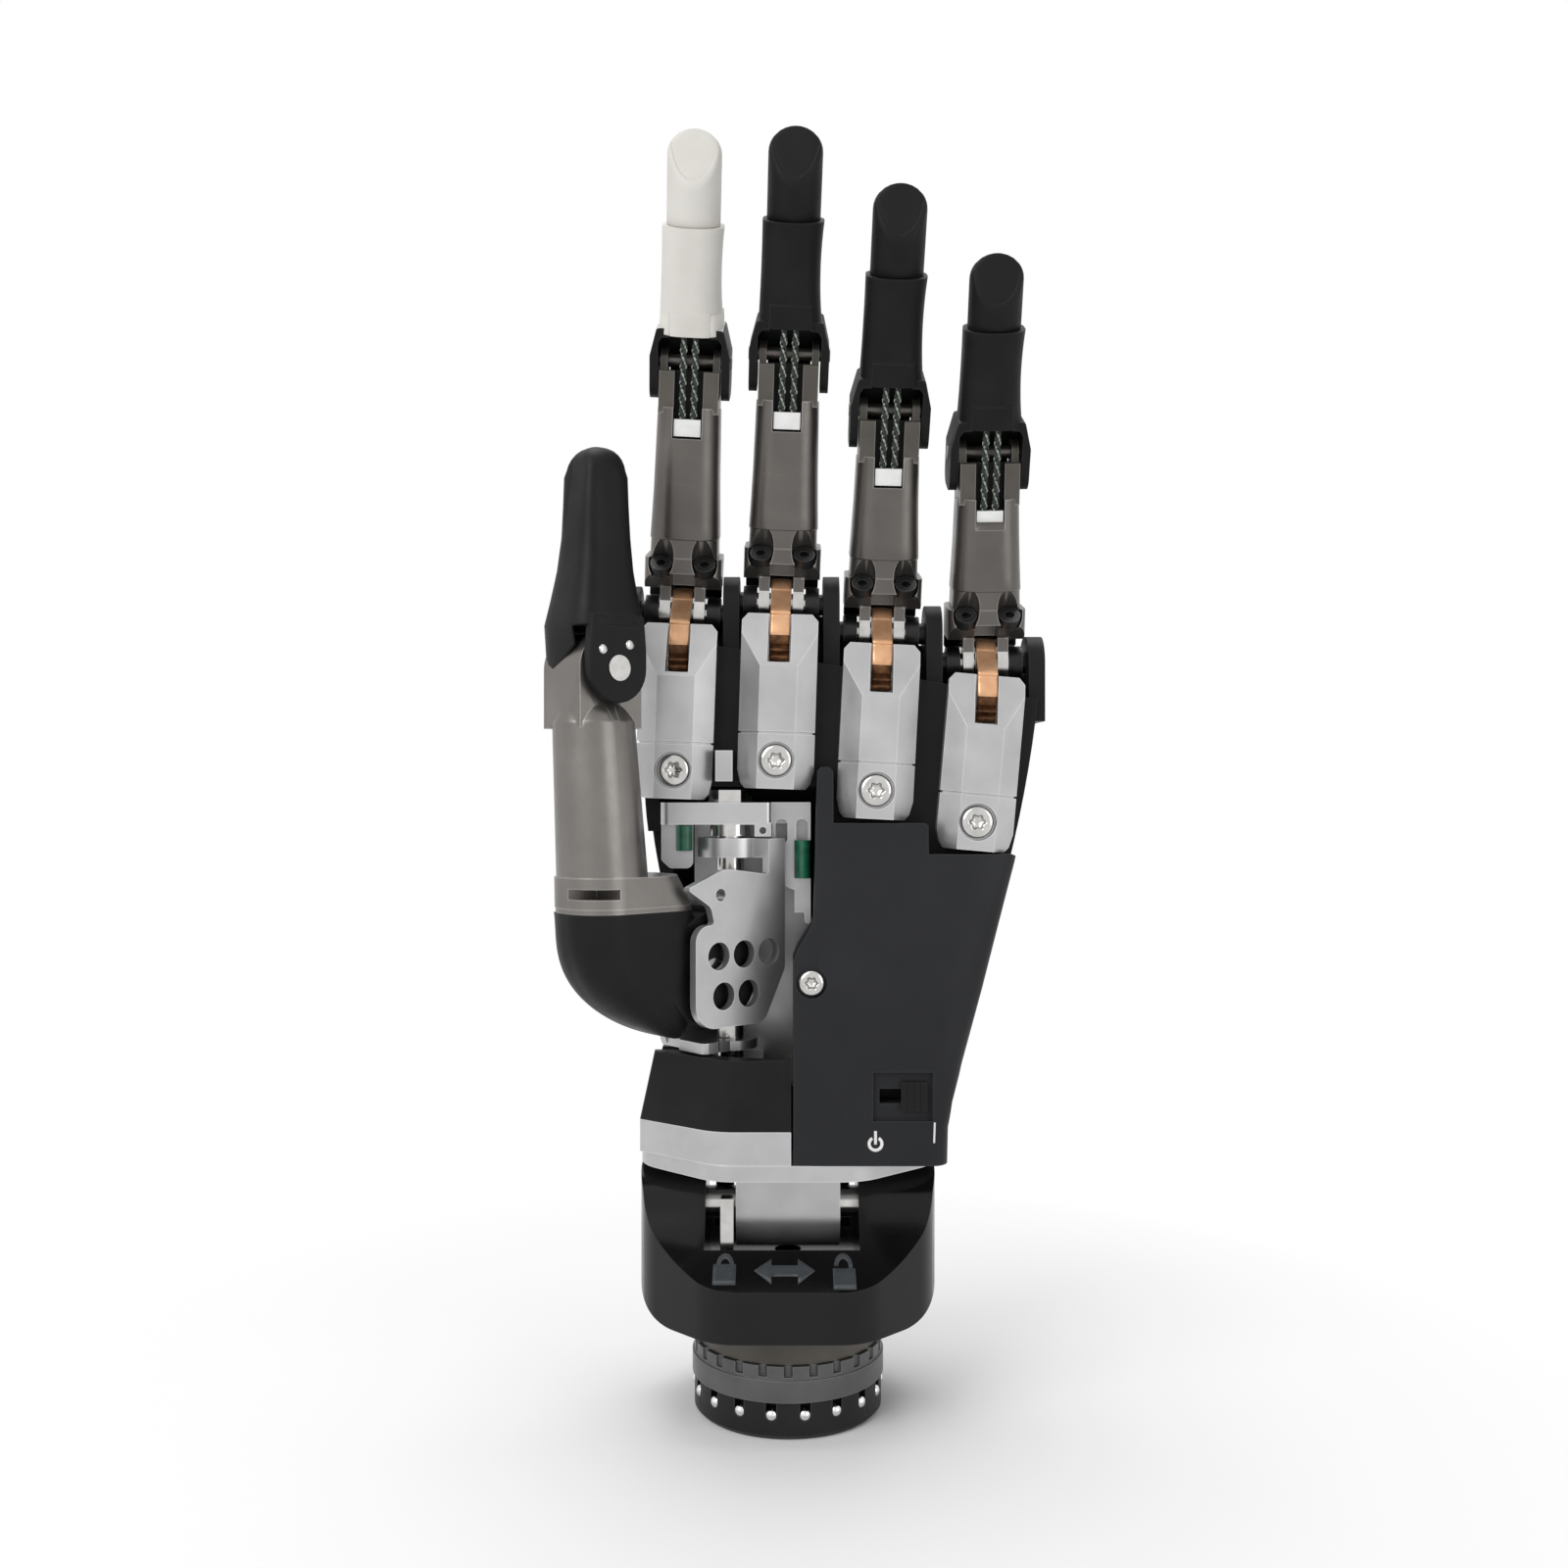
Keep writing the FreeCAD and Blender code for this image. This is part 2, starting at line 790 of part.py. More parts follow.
palm_screw_room = rod(
    "palm_screw_room",
    "palm_screw_radius + torx_recess_gap",
    "10",
    ("palm_screw_x", "-" + str(palm_face + 8.6), "palm_screw_z"),
    "Y",
)
palm_screw_hole = rod(
    "palm_screw_hole", "torx_shank_radius + seat_gap", "30", ("palm_screw_x", "-30", "palm_screw_z"), "Y"
)
palm_screw_seat = cut("palm_screw_cut", palm_screw_room, block(
    "palm_screw_stop", ("-40", "-" + str(palm_face - 1.0), "0"), ("100", "40", "200")
))
palm_cut = cut("palm_cover", palm_body, palm_room, switch_recess, switch_slot, palm_screw_seat, palm_screw_hole)
keep(palm_cut, "palm_cover")

knob_front = switch_front + size["knob_proud"] - 0.5
knob_x = size["switch_x"] + 2.0
knob_back = switch_front - size["switch_recess"] + size["running_gap"]
knob = block(
    "switch_knob",
    (knob_x - size["knob_width"] / 2, -knob_front, size["switch_z"] - size["knob_height"] / 2),
    ("knob_width", knob_front - knob_back, "knob_height"),
)
stem = block("switch_stem", (knob_x - 1.2, -knob_back - 0.3, size["switch_z"] - 1.2), ("2.4", "4.2", "2.4"))
grooves = [
    block(
        "knob_groove_%d" % i,
        (knob_x + (i - 1) * size["groove_pitch"] - size["groove_width"] / 2, -knob_front - 1, "0"),
        ("groove_width", "1 + groove_depth", "200"),
    )
    for i in range(3)
]
keep(cut("power_switch", fuse("switch_solid", knob, stem), *grooves), "power_switch")

# Fingers
FINGERS = ("index", "middle", "ring", "little")


def knuckle(finger):
    return Vector(size[finger + "_x"], 0, size[finger + "_z"])


def finger_base(finger):
    return Placement(knuckle(finger), Rotation(Vector(0, 1, 0), size[finger + "_lean"]))


def bend(angle):
    return Placement(Vector(), Rotation(Vector(1, 0, 0), angle))


def screw_directions():
    tilt = math.radians(size["screw_tilt"])
    return (0, -math.sin(tilt), math.cos(tilt))


def build_finger(finger):
    near = finger_base(finger) * bend(size["rest_bend"])
    length = size[finger + "_length"]
    far = near * Placement(Vector(0, 0, length), Rotation()) * bend(size["rest_tip_bend"])
    aim = screw_directions()
    seat_y = -size["flange_front"] + 1.9
    seat_z = size["flange_top"] - 2.6

    # Knuckle block with two hub plates
    lip = size["flange_lip"]
    flange = prism(
        finger + "_flange",
        [
            (-size["flange_front"] + lip, size["flange_bottom"]),
            (size["flange_back"], size["flange_bottom"], 1.5),
            (size["flange_back"], size["flange_top"]),
            (-size["flange_front"], size["flange_top"]),
            (-size["flange_front"], size["flange_bottom"] + lip),
        ],
        "side",
        -size["flange_width"] / 2,
        "flange_width",
    )
    flange_depth = size["flange_front"] + size["flange_back"]
    plan = prism(
        finger + "_flange_plan",
        rounded(size["flange_width"], flange_depth, size["flange_corner"], 0.0, size["flange_back"] - flange_depth / 2),
        "top",
        0.0,
        "40",
    )
    pieces = [common(finger + "_flange_block", flange, plan)]
    for side, start in (("left", "-hub_inner - hub_width"), ("right", "hub_inner")):
        pieces.append(rod(finger + "_hub_" + side, "hub_radius", "hub_width", (start, "0", "0"), "X"))
        pieces.append(
            block(
                finger + "_arm_" + side,
                (start, "-hub_radius + 1", "0"),
                ("hub_width", "hub_radius * 2 - 2", "flange_bottom + 1"),
            )
        )
    bore = rod(finger + "_hub_bore", "axle_radius + running_gap", "40", ("-20", "0", "0"), "X")
    relief = block(
        finger + "_strip_relief", ("-hub_inner", "-12", "0"), ("hub_inner * 2", "13", "flange_bottom + flange_lip")
    )
    pockets = []
    shanks = []
    heads = []
    for side in (-1, 1):
        name = finger + ("_left" if side < 0 else "_right")
        start = (side * size["screw_spread"], seat_y, seat_z)
        down = tuple(-value for value in aim)
        pockets.append(aimed_rod(name + "_pocket", "screw_head_radius + moving_gap", "14", start, aim))
        shanks.append(
            aimed_rod(name + "_hole", "screw_shank_radius + seat_gap", "screw_shank_length + 0.5", start, down)
        )
        head = aimed_rod(name + "_head", "screw_head_radius", "screw_head_height", start, aim)
        shank = aimed_rod(name + "_shank", "screw_shank_radius", "screw_shank_length", start, down)
        top = [p + d * (size["screw_head_height"] - 1.1) for p, d in zip(start, aim)]
        key = document.addObject("Part::Prism", name + "_key")
        key.Polygon = 6
        bind(key, Circumradius="screw_key_radius", Height="2")
        key.Placement = Placement(Vector(*top), Rotation(Vector(0, 0, 1), Vector(*aim)))
        heads.append(cut(name + "_screw", fuse(name + "_screw_blank", head, shank), key))
    keep(
        cut(finger + "_knuckle_block", fuse(finger + "_knuckle", *pieces), bore, relief, *pockets, *shanks),
        finger + "_knuckle_block",
        near,
    )
    keep(group(finger + "_flange_screws", *heads), finger + "_flange_screws", near)

    # Proximal tube with tongue, cord slot and motor bore
    tube_end = length - size["tube_end"]
    barrel_body = loft(
        finger + "_barrel",
        [
            (size["flange_top"], rounded(size["tube_width_low"], size["tube_depth_low"], size["tube_corner"])),
            (tube_end, rounded(size["tube_width_high"], size["tube_depth_high"], size["tube_corner"])),
        ],
    )
    deep = size["tongue_half_depth"]
    eye = size["tongue_eye_radius"]
    shelf = length - size["tongue_shelf"]
    tongue = prism(
        finger + "_tongue",
        [(-deep, tube_end - 1), (deep, tube_end - 1), (deep, shelf, 2.0), (-deep, shelf, 0.5)],
        "side",
        -size["tongue_half"],
        "tongue_half * 2",
    )
    eye_outline = [
        (-eye, shelf - 2),
        (eye, shelf - 2),
        (eye, length + eye, eye - 0.01),
        (-eye, length + eye, eye - 0.01),
    ]
    left_eye = prism(finger + "_left_eye", eye_outline, "side", -size["tongue_half"], "tongue_eye_width")
    right_start = size["tongue_half"] - size["tongue_eye_width"]
    right_eye = prism(finger + "_right_eye", eye_outline, "side", right_start, "tongue_eye_width")
    slot_low = length - size["slot_below_pin"]
    motor_low = size["flange_top"] + size["running_gap"]
    motor_length = slot_low - size["motor_end_gap"] - motor_low
    motor_room = rod(
        finger + "_motor_room",
        "motor_radius + running_gap",
        motor_length + size["motor_end_gap"],
        ("0", "0", "flange_top - running_gap"),
    )
    cord_slot = block(
        finger + "_cord_slot", ("-slot_width / 2", "-12", slot_low), ("slot_width", "12 - slot_floor", "40")
    )
    pin_hole = rod(finger + "_pin_hole", "pin_radius + running_gap", "40", ("-20", "0", length), "X")
    keep(
        cut(
            finger + "_phalanx_tube",
            fuse(finger + "_tube_solid", barrel_body, tongue, left_eye, right_eye),
            motor_room,
            cord_slot,
            pin_hole,
            *[aimed_rod(p.Name + "_tube", "screw_head_radius + moving_gap", "14", tuple(p.Placement.Base), aim) for p in pockets],
        ),
        finger + "_phalanx_tube",
        near,
    )
    motor = rod(finger + "_motor", "motor_radius", motor_length, ("0", "0", motor_low))
    guide_low = slot_low + 0.4
    guide = block(
        finger + "_guide",
        ("-guide_width / 2", "-slot_floor - seat_gap - guide_depth", guide_low),
        ("guide_width", "guide_depth", "guide_height"),
    )
    lean = math.radians(size["cord_tilt"])
    toward = (0, -math.sin(lean), math.cos(lean))
    cords = []
    holes = []
    cord_length = size["slot_below_pin"] + size["cord_above_pin"] - 0.4
    for side in (-1, 1):
        name = finger + ("_left" if side < 0 else "_right")
        start = (side * size["cord_spread"], -size["cord_level"], guide_low + 1.0)
        cords.append(aimed_rod(name + "_cord", "cord_radius", cord_length - 1.0, start, toward))
        holes.append(aimed_rod(name + "_cord_hole", "cord_radius + seat_gap", cord_length, start, toward))
    keep(
        group(finger + "_gearmotor", motor, cut(finger + "_cord_guide", guide, *holes)),
        finger + "_gearmotor",
        near,
    )
    keep(group(finger + "_tendons", *cords), finger + "_tendons", near)

    # Distal shell with fork ears
    tip_length = size[finger + "_tip_length"]
    sleeve_top = tip_length - size[finger + "_cap_length"]
    fork_inner = size["tongue_half"] + size["fork_gap"]
    fork_outer = fork_inner + size["fork_thickness"]
    half = size["fork_half_depth"]
    crown = size["fork_crown"]
    shoulder = crown + size["shoulder_height"]
    neck = size["sleeve_width"] / 2 + 0.2
    below = -size["fork_below_pin"]
    sleeve = loft(
        finger + "_sleeve",
        [
            (crown + 0.3, rounded(size["sleeve_width"], size["sleeve_depth"], size["sleeve_corner"])),
            (
                crown + (sleeve_top - crown) * size["waist_share"],
                rounded(size["waist_width"], size["waist_depth"], size["sleeve_corner"], -size["waist_shift"]),
            ),
            (sleeve_top, rounded(size["sleeve_width_top"], size["sleeve_depth_top"], size["sleeve_corner"])),
        ],
        False,
    )
    fork_front = prism(
        finger + "_fork_front",
        [
            (-fork_outer, below),
            (-fork_outer, size["arm_bend"], size["shoulder_round"]),
            (-neck, shoulder, 0.6),
            (neck, shoulder, 0.6),
            (fork_outer, size["arm_bend"], size["shoulder_round"]),
            (fork_outer, below),
            (fork_inner, below),
            (fork_inner, size["arm_inner_bend"], 0.4),
            (neck - 0.9, crown, 0.5),
            (0.9 - neck, crown, 0.5),
            (-fork_inner, size["arm_inner_bend"], 0.4),
            (-fork_inner, below),
        ],
        "front",
        -half,
        "fork_half_depth * 2",
    )
    fork_side = prism(
        finger + "_fork_side",
        [(-half, 20), (-half, below, 2.6), (half, below, 2.6), (half, 20)],
        "side",
        -20.0,
        "40",
    )
    fork = common(finger + "_fork", fork_front, fork_side)
    cord_room = block(
        finger + "_cord_room", ("-slot_width / 2 - 1", "-7", "0"), ("slot_width + 2", "10.4", crown + 4.6)
    )
    spigot_room = rod(
        finger + "_spigot_room", "cap_spigot_radius + seat_gap", "20", ("0", "0", str(sleeve_top) + " - cap_spigot_length - 0.3")
    )
    fork_hole = rod(finger + "_fork_hole", "pin_radius + seat_gap", "40", ("-20", "0", "0"), "X")
    keep(
        cut(
            finger + "_distal_shell",
            fuse(finger + "_shell_solid", sleeve, fork),
            cord_room,
            spigot_room,
            fork_hole,
        ),
        finger + "_distal_shell",
        far,
    )
    pin_half = fork_outer + size["pin_proud"]
    pin = rod(finger + "_pin_rod", "pin_radius", pin_half * 2, (-pin_half, "0", "0"), "X")
    keep(group(finger + "_pip_pin", pin), finger + "_pip_pin", far)

    # Rubber fingertip with a slanted pad
    tip = turned_body(
        finger + "_tip_blank",
        [
            (0, sleeve_top - size["cap_spigot_length"]),
            (size["cap_spigot_radius"], sleeve_top - size["cap_spigot_length"]),
            (size["cap_spigot_radius"], sleeve_top),
            (size["cap_radius"], sleeve_top),
            (size["cap_radius"], tip_length, size["cap_round"]),
            (0, tip_length),
        ],
    )
    slope = math.tan(math.radians(90 - size["pad_slope"]))
    pad_y = -size["pad_top_back"]
    pad = prism(
        finger + "_pad_cut",
        [(pad_y, tip_length + 0.01), (pad_y - 12, tip_length + 0.01 - 12 * slope), (pad_y - 12, tip_length + 2), (pad_y, tip_length + 2)],
        "side",
        -10.0,
        "20",
    )
    keep(cut(finger + "_fingertip", tip, pad), finger + "_fingertip", far)


def build_cover(finger):
    """A silver metacarpal cover, drawn about the knuckle's axle, with its screw."""
    place = Placement(knuckle(finger), Rotation(Vector(0, 1, 0), size[finger + "_cover_lean"]))
    top = -size["meta_below_axle"]
    bottom = top - size["meta_length"]
    half = size["meta_half_width"]
    face = deck + size["meta_thickness"]
    corner = size["meta_corner"]
    section = prism(
        finger + "_cover_section",
        [
            (-half, -deck),
            (-half, -deck - size["meta_side"], 0.8),
            (-size["meta_facet_half"], -face, 0.8),
            (size["meta_facet_half"], -face, 0.8),
            (half, -deck - size["meta_side"], 0.8),
            (half, -deck),
        ],
        "top",
        bottom,
        "meta_length",
    )
    outline = prism(
        finger + "_cover_outline",
        [
            (-half, top, 1.0),
            (-half, bottom + corner),
            (-half + corner, bottom),
            (half - corner, bottom),
            (half, bottom + corner),
            (half, top, 1.0),
        ],
        "front",
        0.0,
        "40",
    )
    fall = size["meta_facet_length"] / size["meta_facet_depth"]
    brink = -face + size["meta_facet_depth"]
    facet = prism(
        finger + "_facet_cut",
        [(brink, top), (brink - 9, top - 9 * fall), (brink - 9, top + 5), (brink, top + 5)],
        "side",
        -20.0,
        "40",
    )
    slot = block(
        finger + "_strip_slot",
        ("-meta_slot_half", "-40", str(top) + " - meta_slot_length"),
        ("meta_slot_half * 2", "40 - deck_front - meta_slot_floor", "20"),
    )
    seam = block(
        finger + "_seam",
        ("-20", -face - 5, str(bottom) + " + meta_seam_up"),
        ("40", "5 + meta_seam_depth", "meta_seam_width"),
    )
    level = bottom + size["meta_screw_up"]
    recess = rod(finger + "_recess", "torx_radius + torx_recess_gap", "20", ("0", -face - 20 + size["torx_height"], level), "Y")
    hole = rod(finger + "_screw_hole", "torx_shank_radius + seat_gap", "40", ("0", "-30", level), "Y")
    solid = common(finger + "_cover_solid", section, outline)
    keep(cut(finger + "_metacarpal_cover", solid, facet, slot, seam, recess, hole), finger + "_metacarpal_cover", place)
    head = rod(finger + "_torx_head", "torx_radius", "torx_height", ("0", -face, level), "Y")
    shank = rod(finger + "_torx_shank", "torx_shank_radius", "meta_thickness + 1.5", ("0", -face, level), "Y")
    key = document.addObject("Part::Prism", finger + "_torx_key")
    key.Polygon = 6
    bind(key, Circumradius="torx_key_radius", Height="1.9")
    key.Placement = Placement(Vector(0, -face - 1, level), TURNS["Y"])
    screw = cut(finger + "_cover_screw", fuse(finger + "_torx_blank", head, shank), key)
    screw.Placement = place
    return screw


def build_axle(finger):
    place = finger_base(finger)
    shaft = rod(finger + "_shaft", "axle_radius", "axle_half * 2", ("-axle_half", "0", "0"), "X")
    drum = rod(finger + "_drum", "drum_radius", "drum_half * 2", ("-drum_half", "0", "0"), "X")
    inner = size["hub_inner"] + size["hub_width"] + size["moving_gap"]
    width = size["flange_width"] / 2 - inner
    left = rod(finger + "_left_spacer", "spacer_radius", width, (-inner - width, "0", "0"), "X")
    right = rod(finger + "_right_spacer", "spacer_radius", width, (inner, "0", "0"), "X")
    axle = fuse(finger + "_axle", shaft, drum, left, right)
    axle.Placement = place
    return axle


def build_strip(finger):
    """A flat flex cable that leaves the drum and enters the cover's slot."""
    inner = size["drum_radius"] + size["strip_gap"]
    outer = inner + size["strip_thickness"]
    thick = size["strip_thickness"]

    def on(radius, angle):
        return Vector(radius * math.cos(math.radians(angle)), radius * math.sin(math.radians(angle)), 0)

    entry = Vector(-deck - size["meta_slot_floor"] - 0.55, -1.9, 0)
    end = Vector(entry.x - 0.3, -size["meta_below_axle"] - size["meta_slot_length"] + 0.4, 0)
    drawn = [
        Part.Arc(on(inner, 70), on(inner, 118), on(inner, 166)),
        Part.LineSegment(on(inner, 166), entry + Vector(thick, 0, 0)),
        Part.LineSegment(entry + Vector(thick, 0, 0), end + Vector(thick, 0, 0)),
        Part.LineSegment(end + Vector(thick, 0, 0), end),
        Part.LineSegment(end, entry),
        Part.LineSegment(entry, on(outer, 164)),
        Part.Arc(on(outer, 164), on(outer, 118), on(outer, 70)),
        Part.LineSegment(on(outer, 70), on(inner, 70)),
    ]
    strip = prism(finger + "_strip", drawn, "side", -size["strip_half"], "strip_half * 2")
    lean = size[finger + "_lean"] * 0.4 + size[finger + "_cover_lean"] * 0.6
    strip.Placement = Placement(knuckle(finger), Rotation(Vector(0, 1, 0), lean))
    return strip


screws = []
axles = []
strips = []
for finger in FINGERS:
    build_finger(finger)
    screws.append(build_cover(finger))
    axles.append(build_axle(finger))
    strips.append(build_strip(finger))
palm_head = rod(
    "palm_screw_head",
    "palm_screw_radius",
    "torx_height",
    ("palm_screw_x", -(palm_face - 1.0) - size["torx_height"], "palm_screw_z"),
    "Y",
)
palm_shank = rod(
    "palm_screw_shank",
    "torx_shank_radius",
    "6",
    ("palm_screw_x", -(palm_face - 1.0) - 0.2, "palm_screw_z"),
    "Y",
)
screws.append(fuse("palm_screw", palm_head, palm_shank))
keep(group("cover_screws", *screws), "cover_screws")
keep(group("mcp_axles", *axles), "mcp_axles")
keep(group("flex_strips", *strips), "flex_strips")

# Back shell with knuckle ears
LEVELS = (
    (ring_top, -27.3, 28.3, 18.6, 15.0),
    (62.0, -25.0, 29.3, 18.2, 13.0),
    (75.0, -22.4, 32.8, 17.6, 11.0),
    (95.0, -24.0, 38.9, 16.4, 9.0),
    (115.0, -27.0, 43.6, 14.2, 8.0),
    (152.0, -30.0, 46.6, 8.6, 7.0),
)


def shell_sections(inset, front_line):
    return [
        (
            height,
            [
                (left + inset, front_line),
                (right - inset, front_line),
                (right - inset, back - inset, max(corner - inset, 1.0)),
                (left + inset, back - inset, max(corner - inset, 1.0)),
            ],
        )
        for height, left, right, back, corner in LEVELS
    ]


outer_shell = loft("shell_outer", shell_sections(0.0, -deck), False)
inner_shell = loft("shell_inner", shell_sections(size["shell_wall"], -deck + size["deck_thickness"]), False)
drop = size["shell_below_axle"]
left_knuckle = knuckle("index")
right_knuckle = knuckle("little")
tilt = (right_knuckle.z - left_knuckle.z) / (right_knuckle.x - left_knuckle.x)


def knuckle_line(x, below):
    return left_knuckle.z - below + tilt * (x - left_knuckle.x)


above = prism(
    "shell_above",
    [(-60, knuckle_line(-60, drop)), (70, knuckle_line(70, drop)), (70, 220), (-60, 220)],
    "front",
    -60.0,
    "120",
)
room_above = prism(
    "room_above",
    [(-60, knuckle_line(-60, drop + 4)), (70, knuckle_line(70, drop + 4)), (70, 220), (-60, 220)],
    "front",
    -60.0,
    "120",
)
room_below = block("room_below", ("-60", "-60", ring_top - 5), ("140", "140", "5 + shell_wall"))
inner_room = cut("shell_room", inner_shell, room_above, room_below)
front_limit = prism(
    "front_limit",
    [(-30, ring_top + 3), (26, ring_top + 3), (27, 62), (37, 98.0), (6, 98.0), (6, 116.4), (-30, 116.4)],
    "front",
    deck - 6,
    "20",
)
left_gate = block("left_gate", ("-60", "-40", "67.4"), (60 - 12, "48", "40.6"))
ears = []
centres = [
    left_knuckle.x - size["axle_half"],
    (knuckle("index").x + knuckle("middle").x) / 2,
    (knuckle("middle").x + knuckle("ring").x) / 2,
    (knuckle("ring").x + knuckle("little").x) / 2,
    right_knuckle.x + size["axle_half"],
]
tops = [
    knuckle("index").z,
    max(knuckle("index").z, knuckle("middle").z),
    max(knuckle("middle").z, knuckle("ring").z),
    max(knuckle("ring").z, knuckle("little").z),
    knuckle("little").z,
]
for i, (x, high) in enumerate(zip(centres, tops)):
    half = size["ear_half_depth"]
    low = knuckle_line(x, drop) - 4
    ears.append(
        prism(
            "ear_%d" % i,
            [
                (-half, low),
                (half, low),
                (half, high + size["ear_above_axle"], half - 0.5),
                (-half, high + size["ear_above_axle"], half - 0.5),
            ],
            "side",
            x - size["ear_thickness"] / 2,
            "ear_thickness",
        )
    )
axle_holes = []
for finger in FINGERS:
    hole = rod(finger + "_axle_hole", "axle_radius + seat_gap", "axle_half * 2 + 0.4", ("0", "0", "0"), "X")
    offset = Placement(Vector(-size["axle_half"] - 0.2, 0, 0), TURNS["X"])
    for direction in "xyz":
        hole.setExpression(".Placement.Base." + direction, None)
    hole.Placement = finger_base(finger) * offset
    axle_holes.append(hole)
cover_holes = []
for finger in FINGERS:
    level = -size["meta_below_axle"] - size["meta_length"] + size["meta_screw_up"]
    hole = rod(finger + "_deck_hole", "torx_shank_radius + seat_gap", "60", ("0", "0", "0"), "Y")
    for direction in "xyz":
        hole.setExpression(".Placement.Base." + direction, None)
    turn = Rotation(Vector(0, 1, 0), size[finger + "_cover_lean"])
    hole.Placement = Placement(knuckle(finger), turn) * Placement(Vector(0, -40, level), TURNS["Y"])
    cover_holes.append(hole)
deck_limit = block("deck_limit", ("-60", "-60", "0"), ("140", 60 - deck + size["deck_thickness"] + 2, "300"))
deck_holes = common("deck_holes", fuse("deck_hole_rods", *cover_holes), deck_limit)
shell_body = cut("shell_body", outer_shell, above, inner_room, front_limit, left_gate)
keep(cut("back_shell", fuse("shell_with_ears", shell_body, *ears), *axle_holes, deck_holes), "back_shell")

# Thumb frame in the palm
bar_top = size["thumb_axle_top"]
bar_low = bar_top - size["frame_bar_height"]
left = size["frame_left"]
right = size["frame_right"]
step = size["frame_step"]
leg_low = bar_low - size["frame_leg_drop"]
lug_mid = (size["lug_top"] + size["moving_gap"] + bar_low) / 2
leg_right = left + size["frame_leg_width"]
foot = size["lower_lug_bottom"] - size["foot_gap"] - size["frame_foot_height"]
axle_x = size["thumb_x"]
bar = prism(
    "frame_bar",
    [
        (left, -size["frame_front"], 1.5),
        (step, -size["frame_front"], 1.0),
        (step, -size["frame_face"]),
        (right, -size["frame_face"], 0.6),
        (right, size["frame_back"] + size["frame_plate"]),
        (left + 5, size["frame_back"] + size["frame_plate"], 3.0),
        (left, size["frame_back"] - 5, 3.0),
    ],
    "top",
    bar_low,
    "frame_bar_height",
)
tab = block(
    "frame_tab",
    ("frame_step - frame_tab_width", "-frame_front", "lug_top + moving_gap"),
    ("frame_tab_width", "3", "thumb_axle_top - frame_bar_height - lug_top"),
)
plate = prism(
    "frame_plate",
    [(-18, foot, 2.0), (right, foot, 2.0), (right, bar_top, 0.5), (-18, bar_top, 0.5)],
    "front",
    -size["frame_back"] - size["frame_plate"],
    "frame_plate",
)
face = prism(
    "frame_face",
    [
        (step + 0.2, bar_top, 0.5),
        (step + 0.2, 105, 1.0),
        (step + 2.4, 98, 1.5),
        (right - 1.6, 96.5, 2.0),
        (right - 1.0, 91, 0.4),
        (right, 91, 0.3),
        (right, bar_top, 0.5),
    ],
    "front",
    size["frame_face"] - size["frame_face_thickness"],
    "frame_face_thickness",
)
strip_left = right - size["frame_strip"]
side_strip = block(
    "frame_side",
    (strip_left, "-frame_face", "93"),
    ("frame_strip", "frame_face + frame_back + 1", "thumb_axle_top - 93"),
)
base_block = prism(
    "frame_base",
    [
        (axle_x - 6, -size["frame_front"], 3.0),
        (axle_x + 6, -size["frame_front"], 3.0),
        (axle_x + 6, size["frame_back"] + 1),
        (axle_x - 6, size["frame_back"] + 1),
    ],
    "top",
    foot,
    "frame_foot_height",
)
leg = prism(
    "frame_leg",
    [
        (left, bar_low + 1),
        (left, leg_low + 1.5, 0.8),
        (left + 1.6, leg_low, 0.8),
        (leg_right, leg_low, 1.2),
        (leg_right, bar_low + 1),
    ],
    "front",
    size["frame_leg_front"] - 3.0,
    "3",
)
frame_pieces = [bar, tab, plate, face, side_strip, base_block, leg]
frame_slots = [
    prism(
        "frame_slot_%d" % i,
        rounded(size["frame_slot_width"], size["frame_slot_height"], size["frame_slot_width"] * 0.45, x, bar_top - 5.4),
        "front",
        size["frame_face"] - 4.0,
        "10",
    )
    for i, x in enumerate((step + 1.9, right - 1.6))
]
tab_hole = rod(
    "frame_tab_hole", "0.65", "4", ("frame_step - frame_tab_width / 2", "-frame_front - 1", lug_mid), "Y"
)
bridge_low = size["index_z"] - size["meta_below_axle"] - size["meta_length"] + size["meta_corner"]
bridge_left = size["index_x"] + size["meta_half_width"] - 0.4
bridge = block(
    "frame_bridge",
    (bridge_left, "-deck_front - meta_thickness + 0.8", bridge_low),
    (size["middle_x"] - size["meta_half_width"] - 1.8 - bridge_left, "meta_thickness - 1", "bridge_height"),
)
posts = common(
    "frame_posts",
    fuse(
        "post_blocks",
        block("upper_post", ("-8", "frame_back + 1", "98"), ("10", "30", "8")),
        block("lower_post", ("-8", "frame_back + 1", "66"), ("10", "30", "8")),
    ),
    inner_room,
)
upper_hole = rod("upper_axle_hole", "thumb_axle_radius + seat_gap", "40", ("thumb_x", "thumb_y", "90"))
lower_hole = rod("lower_axle_hole", "thumb_axle_radius + seat_gap", "20", ("thumb_x", "thumb_y", foot + 2))
frame_body = fuse("frame_blocks", *frame_pieces, posts)
frame = cut("frame", frame_body, upper_hole, lower_hole, tab_hole, *frame_slots)
keep(group("thumb_frame", frame, bridge), "thumb_frame")

